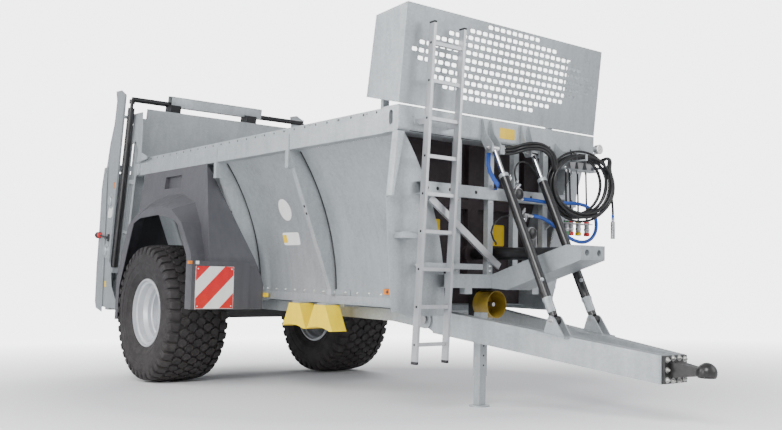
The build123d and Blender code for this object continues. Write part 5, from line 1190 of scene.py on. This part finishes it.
class SPREADER_OT_valves(bpy.types.Operator):
    """Dress the rack: valve hoods, gauge, accumulators, coupler caps and hose ends"""
    bl_idname = "spreader.valves"
    bl_label = "Valves"

    def execute(self, context):
        hoods, chrome, white = bmesh.new(), bmesh.new(), bmesh.new()
        for y in (668, 771, 886):
            block(hoods, (176, y - 36, 2270), (188, y + 36, 2346), 5)
            turned(hoods, (188, y, 2308), (1, 0, 0), [(0, 17), (8, 17), (11, 14), (26, 12), (29, 8)], 16)
            for dz in (-26, 26):
                for dy in (-24, 24):
                    bolt(chrome, (188, y + dy, 2308 + dz), (1, 0, 0), 3.4, washer=False)
        turned(chrome, (142, *GAUGE), (1, 0, 0), [(0, 44), (7, 44), (9, 41)], 40)
        turned(white, (151, *GAUGE), (1, 0, 0), [(0, 38), (0.8, 38)], 40)
        for i in range(11):
            a = math.radians(225 - 27 * i)
            tip, root = (
                Vector((152.2, GAUGE[0] + r * math.cos(a), GAUGE[1] + r * math.sin(a))) for r in (33, 26)
            )
            turned(hoods, root, tip - root, [(0, 0.7), (7, 0.7)], 6)
        turned(hoods, (152.2, *GAUGE), (0, -0.7, -0.7), [(-6, 1.6), (26, 0.7)], 6)
        for centre, length in (((60, 50, 1940), 65), ((225, 38, 1607), 65)):
            x, y, z = centre
            turned(hoods, (x + length - 2, y, z), (1, 0, 0),
                   [(0, 48), (9, 44), (15, 34), (19, 18), (20, 4)], 32)
            turned_loop(hoods, (x + length * 0.4, y, z), (1, 0, 0),
                        [(0, 51.5), (2, 53.5), (12, 53.5), (14, 51.5)], 40)
            turned(chrome, (x - 22, y, z), (1, 0, 0), [(0, 25), (1, 30), (16, 30), (17, 26)], 6)
        for at, towards in (
            ((60, -3, 2052), (0, 0.3, 1)), ((96, 28, 2010), (0.4, 0.3, 1)),
            ((200, 15, 1768), (0.2, 0.2, 1)), ((212, 40, 1706), (0.1, 0.1, 1)),
            ((180, 12, 1690), (0.2, 0.5, 0.6)), ((120, 20, 1985), (0.7, 0.1, 0.6)),
        ):
            turned(chrome, at, towards, [(0, 9), (16, 9), (17, 15), (33, 15), (34, 10), (52, 10)], 6)
        finish_piece("valve_hoods", hoods, "Black Paint", "machine", "black_paint")
        ends = bmesh.new()
        for side in (-1, 0, 1):
            y = RACK_ENDS[side + 1]
            ferrule(ends, (165, y, RACK_PORT_Z), (1, 0.02, 0.1), 11)
            turned(ends, (118.2, y, RACK_PORT_Z), (1, 0, 0), [(0, 17), (16, 17), (17, 13), (44, 13)], 6)
            ferrule(ends, (60, -104.7, 2300 + 24 * side), (0, 1, 0), 11, hexagon=False)
        ferrule(ends, (165, 1003, 2236), (1, 0, 0), 10)
        turned(ends, (118.2, 1003, 2236), (1, 0, 0), [(0, 17), (16, 17), (17, 13), (44, 13)], 6)
        ferrule(ends, (95, 122.3, 1905), (0, 1, 0), 12)
        ferrule(ends, (100, 240.3, 1768), (0, 1, 0), 12)
        ferrule(ends, (90, 50, 2008.3), (0, 0, 1), 8, 34)
        ferrule(ends, (92, 516, 1730.3), (0, 0, 1), 8, 34)
        ferrule(ends, (423, 911, 1745), (0, 0, 1), 10)
        for y in LINE_TOPS:
            ferrule(ends, (140, y, 2200), (0, 0, -1), 8, 34)
        for y in LINE_FEET:
            ferrule(ends, (140, y, 1754), (0, 0, 1), 8, 34)
            turned(ends, (140, y, 1654), (0, 0, -1),
                   [(0, 19), (4, 21), (10, 21), (12, 15), (24, 15), (25, 12)], 20)
            turned_loop(ends, (140, y, 1690), (0, 0, -1), [(0, 22.5), (3, 25.5), (20, 25.5), (23, 22.5)], 24)
        finish_piece("hose_ends", ends, "Hard Chrome", "machine", "chrome")
        finish_piece("valve_fittings", chrome, "Hard Chrome", "machine", "chrome")
        finish_piece("gauge_dial", white, "White Label", "machine")
        for y, finish, word in ((630, "Green Cap", "green"), (690, "Red Cap", "red"),
                                (790, "Yellow Plastic", "yellow"), (905, "Red Cap", "far_red")):
            bm = bmesh.new()
            turned(bm, (140, y, 1652), (0, 0, -1), [(0, 25), (3, 27), (26, 27), (30, 22), (32, 8)], 24)
            turned_loop(bm, (140, y, 1736), (0, 0, 1), [(0, 22.5), (0, 26), (10, 26), (10, 22.5)], 24)
            finish_piece(f"coupler_cap_{word}", bm, finish, "machine")
        return {"FINISHED"}


STRAP = ((-1, -0.5), (-0.8, -1), (0.8, -1), (1, -0.5), (1, 0.5), (0.8, 1), (-0.8, 1), (-1, 0.5))


def strap(name, points, width, thickness, finish, slot):
    """A flat strap or thin pipe swept along points of the machine."""
    bm = bmesh.new()
    points = [Vector(p) for p in points]
    rings = []
    for i, p in enumerate(points):
        before, after = points[max(i - 1, 0)], points[min(i + 1, len(points) - 1)]
        direction = (after - before).normalized()
        side = direction.cross(Vector((1, 0, 0))).normalized()
        up = side.cross(direction)
        rings.append([p + side * a * width / 2 + up * b * thickness / 2 for a, b in STRAP])
    add_rings(bm, rings)
    return finish_piece(name, bm, finish, "machine", slot)


class SPREADER_OT_straps(bpy.types.Operator):
    """Hang the blue strap and the thin pipe, and fix the handle and latch bar behind the ladder"""
    bl_idname = "spreader.straps"
    bl_label = "Straps"

    def execute(self, context):
        strap("blue_strap", [(70, -262, 2262), (66, -258, 2230), (62, -256, 2160), (60, -235, 2110),
                             (60, -190, 2052), (60, -135, 2003), (30, -110, 1984), (2, -108, 1978)], 46, 5,
              "Blue Sleeve", "blue_rubber")
        strap("beam_handle", [(2, -1026, 2482), (22, -1026, 2480), (24, -1026, 2440), (24, -1020, 2420),
                              (24, -680, 2424), (24, -663, 2434), (22, -663, 2462), (2, -663, 2464)], 9, 9,
              "Galvanised Frame", "galvanised")
        strap("latch_bar", [(5, -1118, 1562), (5, -1000, 1568), (5, -800, 1578), (5, -640, 1586)], 34, 7,
              "Galvanised Frame", "galvanised")
        strap("thin_pipe", [(2, 16, 1762), (40, 14, 1760), (58, -30, 1757), (60, -90, 1745),
                            (60, -152, 1704), (60, -192, 1660), (60, -209, 1609), (52, -175, 1552),
                            (30, -120, 1524), (2, -95, 1514)], 12, 12, "Hose Rubber", "black_rubber")
        return {"FINISHED"}


# ---- guards, plates and lamps ----------------------------------------------------------------------
PLATE_Y, PLATE_Z = (1015, 1438), (856, 1279)
PANEL_FRONT = -2814.5            # front face of the panels that carry the plates


class SPREADER_OT_plates(bpy.types.Operator):
    """Make the two striped plates on the front panels, red and white at 45 degrees"""
    bl_idname = "spreader.plates"
    bl_label = "Striped Plates"

    def execute(self, context):
        bases, stripes = bmesh.new(), bmesh.new()
        x = PANEL_FRONT
        size = PLATE_Y[1] - PLATE_Y[0]
        for side in (RIGHT, LEFT):
            block(bases, (x, side * PLATE_Y[0], PLATE_Z[0]), (x + 2.0, side * PLATE_Y[1], PLATE_Z[1]), 0.6)
            for low, high in ((0.02, 0.36), (0.76, 1.20), (1.62, 1.98)):
                corners = []
                for total in (low, high):
                    start, end = max(0.008, total - 0.992), min(0.992, total)
                    corners.append(((start, total - start), (end, total - end)))
                (a, b), (c, d) = corners
                outline = [a, b] + ([(0.992, 0.008), d, c, (0.008, 0.992)] if low < 1 < high else [d, c])
                points = []
                for u, v in outline:
                    y = side * (PLATE_Y[1] - u * size)
                    points.append(Vector((x + 2.0, y, PLATE_Z[1] - v * size)))
                centre = sum(points, Vector()) / len(points)
                points.sort(key=lambda p: math.atan2(p.z - centre.z, p.y - centre.y))
                slab(stripes, points, 0.7, 0.15)
            for u in (0.06, 0.94):
                for v in (0.06, 0.94):
                    turned(bases, (x + 2.5, side * (PLATE_Y[0] + u * size), PLATE_Z[0] + v * size),
                           (1, 0, 0), [(0, 7), (2, 6.5), (3.2, 4), (3.5, 1)], 12)
        base = finish_piece("plate_backs", bases, "White Label", "machine", "plate")
        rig.replaces(base, "warning_plates")
        finish_piece("plate_stripes", stripes, "Red Cap", "machine", "plate")
        return {"FINISHED"}


class SPREADER_OT_lamps(bpy.types.Operator):
    """Add the lamps' lenses, the rear lamps on their rubber arms and the reflectors"""
    bl_idname = "spreader.lamps"
    bl_label = "Lamps"

    def execute(self, context):
        rubber, lens, red, white = bmesh.new(), bmesh.new(), bmesh.new(), bmesh.new()
        for side in (RIGHT, LEFT):
            wall = wall_y(1116)
            block(rubber, (-832, side * (wall + 1), 1066), (-738, side * (wall + 10), 1118), 4)
            turned(rubber, (-772, side * (wall + 24), 1092), (0, side, 0), [(0, 15), (3, 15), (4, 12)], 20)
            block(white, (PANEL_FRONT, side * 1404, 1298), (PANEL_FRONT + 1.2, side * 1440, 1330), 0.3)
            block(rubber, (-5610, side * 1278, 1560), (-5560, side * 1292, 1650), 4)
            rings = [circle((-5600 - 12 * i, side * (1290 + 1.2 * i), 1604 + 2.0 * i), (-1, 0, 0.15),
                            15 - 0.3 * i, 12) for i in range(18)]
            add_rings(rubber, rings)
            turned(rubber, (-5812, side * 1310, 1640), (-1, 0, 0.02),
                   [(0, 20), (6, 40), (60, 42), (64, 38)], 24)
            turned(red, (-5876, side * 1310, 1641), (-1, 0, 0.02), [(0, 37), (6, 36), (14, 28), (17, 12)], 24)
            turned(red, (-5806, side * 1310, 1640), (1, 0, 0.0), [(-6, 34), (2, 30), (8, 18)], 24)
            block(lens, (-5474, side * 1277.4, 2212), (-5396, side * 1286, 2292), 4)
        finish_piece("lamp_bodies", rubber, "Seal Rubber", "machine", "lamp")
        finish_piece("lamp_amber", lens, "Amber Lens", "machine", "lamp")
        finish_piece("lamp_red", red, "Red Cap", "machine", "lamp")
        finish_piece("lamp_white", white, "White Label", "machine", "lamp")
        return {"FINISHED"}


# ---- drawbar ---------------------------------------------------------------------------------------
STRUT_FOOT, STRUT_TOP, STRUT_Y = 775, (100, 0, 2300), 230
DRAW_REAR, DRAW_FRONT = (-480, 868), (1630, 641)     # x and z at the two ends of a beam
COUPLING_BOLTS = tuple((y, dz) for y in (-102, 102) for dz in (-68, 0, 68)) + (
    (-36, -77), (36, -77), (-36, 77), (36, 77),
)


def draw_z(x):
    """Middle of the drawbar's beams."""
    (x0, z0), (x1, z1) = DRAW_REAR, DRAW_FRONT
    return z0 + (z1 - z0) * (x - x0) / (x1 - x0)


class SPREADER_OT_drawbar(bpy.types.Operator):
    """Add the drawbar's coupling bolts, welds, pin heads and the parking leg's pin"""
    bl_idname = "spreader.drawbar"
    bl_label = "Drawbar"

    def execute(self, context):
        bolts, steel, welds, forks, holes = bmesh.new(), bmesh.new(), bmesh.new(), bmesh.new(), bmesh.new()
        for y, dz in COUPLING_BOLTS:
            bolt(bolts, (1670.3, y, DRAW_FRONT[1] + dz), (1, 0, 0), 14)
        pin = Vector((STRUT_FOOT, 0, draw_z(STRUT_FOOT) + 197))
        run = (Vector(STRUT_TOP) - pin).normalized()
        for side in (1, -1):
            bolt(steel, (STRUT_FOOT, side * 279, pin.z), (0, side, 0), 16)
            weld_line(welds, (700, side * 182, draw_z(700) + 112), (860, side * 182, draw_z(860) + 108), 5)
            foot = pin + Vector((0, side * STRUT_Y, 0))
            turned(forks, foot + run * 64, run,
                   [(0, 34.5), (4, 36), (88, 36), (100, 40), (110, 42), (120, 42), (122, 39)], 12)
            turned(forks, foot + run * 1246, run, [(0, 38.6), (2, 41.5), (30, 41.5), (32, 40), (36, 34)], 28)
            port = foot + run * 338 + Vector((30, -22, 0))
            turned(forks, port, (1, -0.6, 0.2), [(0, 15), (14, 15), (15, 10), (30, 10), (32, 6)], 12)
        bolt(steel, (-20, -276, draw_z(-20) - 10), (0, -1, 0), 11)
        # Dark discs on the parking leg's sleeve: painted shade inside its pin holes.
        for z in (679, 600, 520):
            turned(holes, (20.2, -235, z), (1, 0, 0), [(0, 8), (0.9, 8)], 14)
        finish_piece("strut_forks", forks, "Galvanised Frame", "strut_barrels", "galvanised")
        finish_piece("jack_hole_shade", holes, "Seal Rubber", "drawbar")
        finish_piece("coupling_bolts", bolts, "Zinc Bolts", "drawbar", "steel")
        finish_piece("drawbar_pins", steel, "Machined Steel", "drawbar", "steel")
        finish_piece("drawbar_welds", welds, "Galvanised Frame", "drawbar", "galvanised")
        return {"FINISHED"}


# ---- ladder ----------------------------------------------------------------------------------------
LADDER_LOW, LADDER_HIGH = 566, 3205
LADDER_X, LADDER_LEAN = -7, 143      # back of the stiles at the foot, and how far they lean
RUNGS, RUNG_PITCH = 9, 291
STILES = (-974, -662)


def ladder_x(z):
    """Back of the ladder's stiles, which lean a little forward."""
    return LADDER_X + LADDER_LEAN * (z - LADDER_LOW) / (LADDER_HIGH - LADDER_LOW)


class SPREADER_OT_ladder(bpy.types.Operator):
    """Add dark discs painted as shade in the hollow ends of the ladder's rungs, and the stiles' end caps"""
    bl_idname = "spreader.ladder"
    bl_label = "Ladder"

    def execute(self, context):
        dark = bmesh.new()
        # Dark discs at each rung's ends on the stiles' outer faces: painted shade inside the hollow rungs.
        for rung in range(RUNGS):
            z = LADDER_LOW + RUNG_PITCH * (rung + 0.5)
            x = ladder_x(z) + 30
            for y, out in ((-986.6, -1), (-649.4, 1)):
                turned(dark, (x, y, z), (0, out, 0), [(0, 10), (0.9, 10)], 16)
        for y in STILES:
            for end, low, high in ((LADDER_LOW, -6, 18), (LADDER_HIGH, -13, 3)):
                x = ladder_x(end)
                block(dark, (x - 1.5, y - 14, end + low), (x + 61.5, y + 14, end + high), 2)
        # The rung ends' dark discs are painted shade; the blocks at the stiles' ends are real caps.
        finish_piece("ladder_caps_and_rung_shade", dark, "Seal Rubber", "machine")
        return {"FINISHED"}


# ---- headboard -------------------------------------------------------------------------------------
HEAD_FOOT, HEAD_RISE, HEAD_FORWARD, HEAD_HALF = 2570, 775, 86, 1160.7
SLOT_PITCH = 71
SLOT = ((-27, -8), (-20, -16), (20, -16), (27, -8), (27, 8), (20, 16), (-20, 16), (-27, 8))
SLOT_ROWS = (              # height along the board, middle of the first slot, how many
    (128, -486, 12), (186, -712, 18), (249, -830, 22), (309, -872, 25), (370, -992, 29), (432, -1058, 31),
    (496, -987, 29), (557, -835, 25), (618, -693, 21), (676, -467, 15), (740, -268, 9),
)


def lean_point(x, y, along):
    """A point of the leaning headboard: x ahead of its face, along measured up the board."""
    a = math.atan2(HEAD_FORWARD, HEAD_RISE)
    c, s = math.cos(a), math.sin(a)
    return Vector((x * c + along * s, y, HEAD_FOOT - x * s + along * c))


class SPREADER_OT_headboard(bpy.types.Operator):
    """Build the perforated headboard with its folded top edge, cheeks and feet"""
    bl_idname = "spreader.headboard"
    bl_label = "Headboard"

    def execute(self, context):
        top = math.hypot(HEAD_RISE, HEAD_FORWARD)
        loops = [[(-HEAD_HALF, 0), (HEAD_HALF, 0), (HEAD_HALF, top), (-HEAD_HALF, top)]]
        for height, first, count in SLOT_ROWS:
            for i in range(count):
                y = first + SLOT_PITCH * i
                loops.append([(y + u, height + v) for u, v in SLOT])
        flat = [Vector(p) for loop in loops for p in loop]
        faces, start = [], 0
        for loop in loops:
            faces.append(list(range(start, start + len(loop))))
            start += len(loop)
        points, _, triangles, from_vert, _, from_face = delaunay_2d_cdt(flat, [], faces, 1, 1e-4)
        bm = bmesh.new()
        front = [bm.verts.new(lean_point(0, p.x, p.y)) for p in points]
        back = [bm.verts.new(lean_point(-5, p.x, p.y)) for p in points]
        for triangle, source in zip(triangles, from_face):
            if source == [0]:
                bm.faces.new([front[i] for i in triangle])
                bm.faces.new([back[i] for i in reversed(triangle)])
        place = {old: new for new, olds in enumerate(from_vert) for old in olds}
        for face in faces:
            for a, b in zip(face, face[1:] + face[:1]):
                a, b = place[a], place[b]
                bm.faces.new((front[a], front[b], back[b], back[a]))
        folded = len(bm.verts)
        block(bm, (-34, -HEAD_HALF, top - 3), (-5.3, HEAD_HALF, top), 0.8)
        bm.verts.ensure_lookup_table()
        for vert in bm.verts[folded:]:
            vert.co = lean_point(*vert.co)
        for side in (RIGHT, LEFT):
            outline = [(0, HEAD_FOOT), (HEAD_FORWARD, HEAD_FOOT + HEAD_RISE),
                       (HEAD_FORWARD - 400, HEAD_FOOT + HEAD_RISE - 25), (-420, HEAD_FOOT + 100)]
            slab(bm, [Vector((x, side * 1161, z)) for x, z in outline][::-side], 5, 1)
            block(bm, (-420, side * 960, 2670), (-380, side * 1160.5, 2676), 1)
            block(bm, (-420, side * 960, 2570), (-380, side * 1020, 2669.5), 2)
        board = finish_piece("headboard_sheet", bm, "Galvanised Steel", "push_wall", "galvanised")
        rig.replaces(board, "headboard")
        return {"FINISHED"}


# ---- rear ------------------------------------------------------------------------------------------
REAR_LEAN, REAR_X = math.radians(10.5), -5420
DRUMS = ((-5650, 1440), (-5550, 2060))


def rear_point(x, y, z):
    """A point given upright on the rear plane, once the plane leans."""
    c, s = math.cos(REAR_LEAN), math.sin(REAR_LEAN)
    return Vector((REAR_X + x * c + z * s, y, FLOOR_Z - x * s + z * c))


class SPREADER_OT_channel(bpy.types.Operator):
    """Fold the open channel that covers the lift tube's hoses"""
    bl_idname = "spreader.channel"
    bl_label = "Hose Channel"

    def execute(self, context):
        def section(y, low):
            """The folded profile at one station, its lips down to low."""
            outer = [(-200, low), (-200, 2401), (-197, 2408), (-190, 2411), (-90, 2411), (-83, 2408),
                     (-80, 2401), (-80, low)]
            inner = [(-85, low), (-85, 2400), (-90, 2406), (-190, 2406), (-195, 2400), (-195, low)]
            return [rear_point(x, y, z) for x, z in outer + inner]

        bm = bmesh.new()
        over, down = 2304.8, 2281
        stations = [(-741, over), (-640.6, over), (-640.6, down), (288.6, down), (288.6, over),
                    (433.4, over), (433.4, down), (540, down)]
        add_rings(bm, [section(y, low) for y, low in stations])
        for y in (-541, 340):
            saddle = [(-195, 2330), (-195, 2405.5), (-85, 2405.5), (-85, 2330)]
            saddle += [(-140 + 32.4 * math.cos(math.radians(a)), 2304 + 32.4 * math.sin(math.radians(a)))
                       for a in range(50, 131, 10)]
            rings = [[rear_point(x, y + dy, z) for x, z in saddle] for dy in (-3, 3)]
            add_rings(bm, rings)
        cover = finish_piece("lift_hose_channel", bm, "Galvanised Frame", "gate", "galvanised")
        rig.replaces(cover, "lift_channel")
        return {"FINISHED"}


class SPREADER_OT_rear(bpy.types.Operator):
    """Add the spreading unit's bearings on the rear posts and the bolts that hold them"""
    bl_idname = "spreader.rear"
    bl_label = "Rear"

    def execute(self, context):
        bolts, bearings = bmesh.new(), bmesh.new()
        for side in (RIGHT, LEFT):
            for x, z in DRUMS:
                turned(bearings, (x, side * 1277.3, z), (0, side, 0),
                       [(0, 92), (4, 92), (6, 84), (7, 60), (26, 56), (32, 48), (34, 20)], 36)
                for i in range(4):
                    a = math.pi / 4 + i * math.pi / 2
                    bolt(bolts, (x + 76 * math.cos(a), side * 1282, z + 76 * math.sin(a)), (0, side, 0), 8)
        finish_piece("drum_bearings", bearings, "Galvanised Frame", "machine", "galvanised")
        finish_piece("rear_bolts", bolts, "Zinc Bolts", "machine", "steel")
        return {"FINISHED"}


# ---- panel and registration ------------------------------------------------------------------------
OPERATORS = [
    made for made in list(globals().values())
    if getattr(made, "__name__", "").startswith("SPREADER_OT_")
]


class SPREADER_PT_panel(bpy.types.Panel):
    """Lists the steps that dress the spreader"""
    bl_idname = "SPREADER_PT_panel"
    bl_label = "Spreader"
    bl_space_type = "VIEW_3D"
    bl_region_type = "UI"
    bl_category = "Spreader"

    def draw(self, context):
        for made in OPERATORS:
            self.layout.operator(made.bl_idname)
        settings = context.scene.spreader
        for group in (settings.colours, settings.tyres, settings.fittings):
            box = self.layout.box()
            for name in group.bl_rna.properties.keys():
                if name not in {"rna_type", "name"}:
                    box.prop(group, name)


GROUPS = [SpreaderColours, SpreaderTyreSizes, SpreaderFittingSizes, SpreaderSettings]
CLASSES = GROUPS + OPERATORS + [SPREADER_PT_panel]


def register():
    for made in CLASSES:
        bpy.utils.register_class(made)
    bpy.types.Scene.spreader = bpy.props.PointerProperty(type=SpreaderSettings)


def unregister():
    del bpy.types.Scene.spreader
    for made in reversed(CLASSES):
        bpy.utils.unregister_class(made)


def main():
    register()
    for made in OPERATORS:
        group, name = made.bl_idname.split(".")
        getattr(getattr(bpy.ops, group), name)()
    built_box = [list(corner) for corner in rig.bounds()]
    with open("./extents.json", "w") as out:
        json.dump({"cad": CAD_BOX, "built": built_box}, out)


if __name__ == "__main__":
    main()
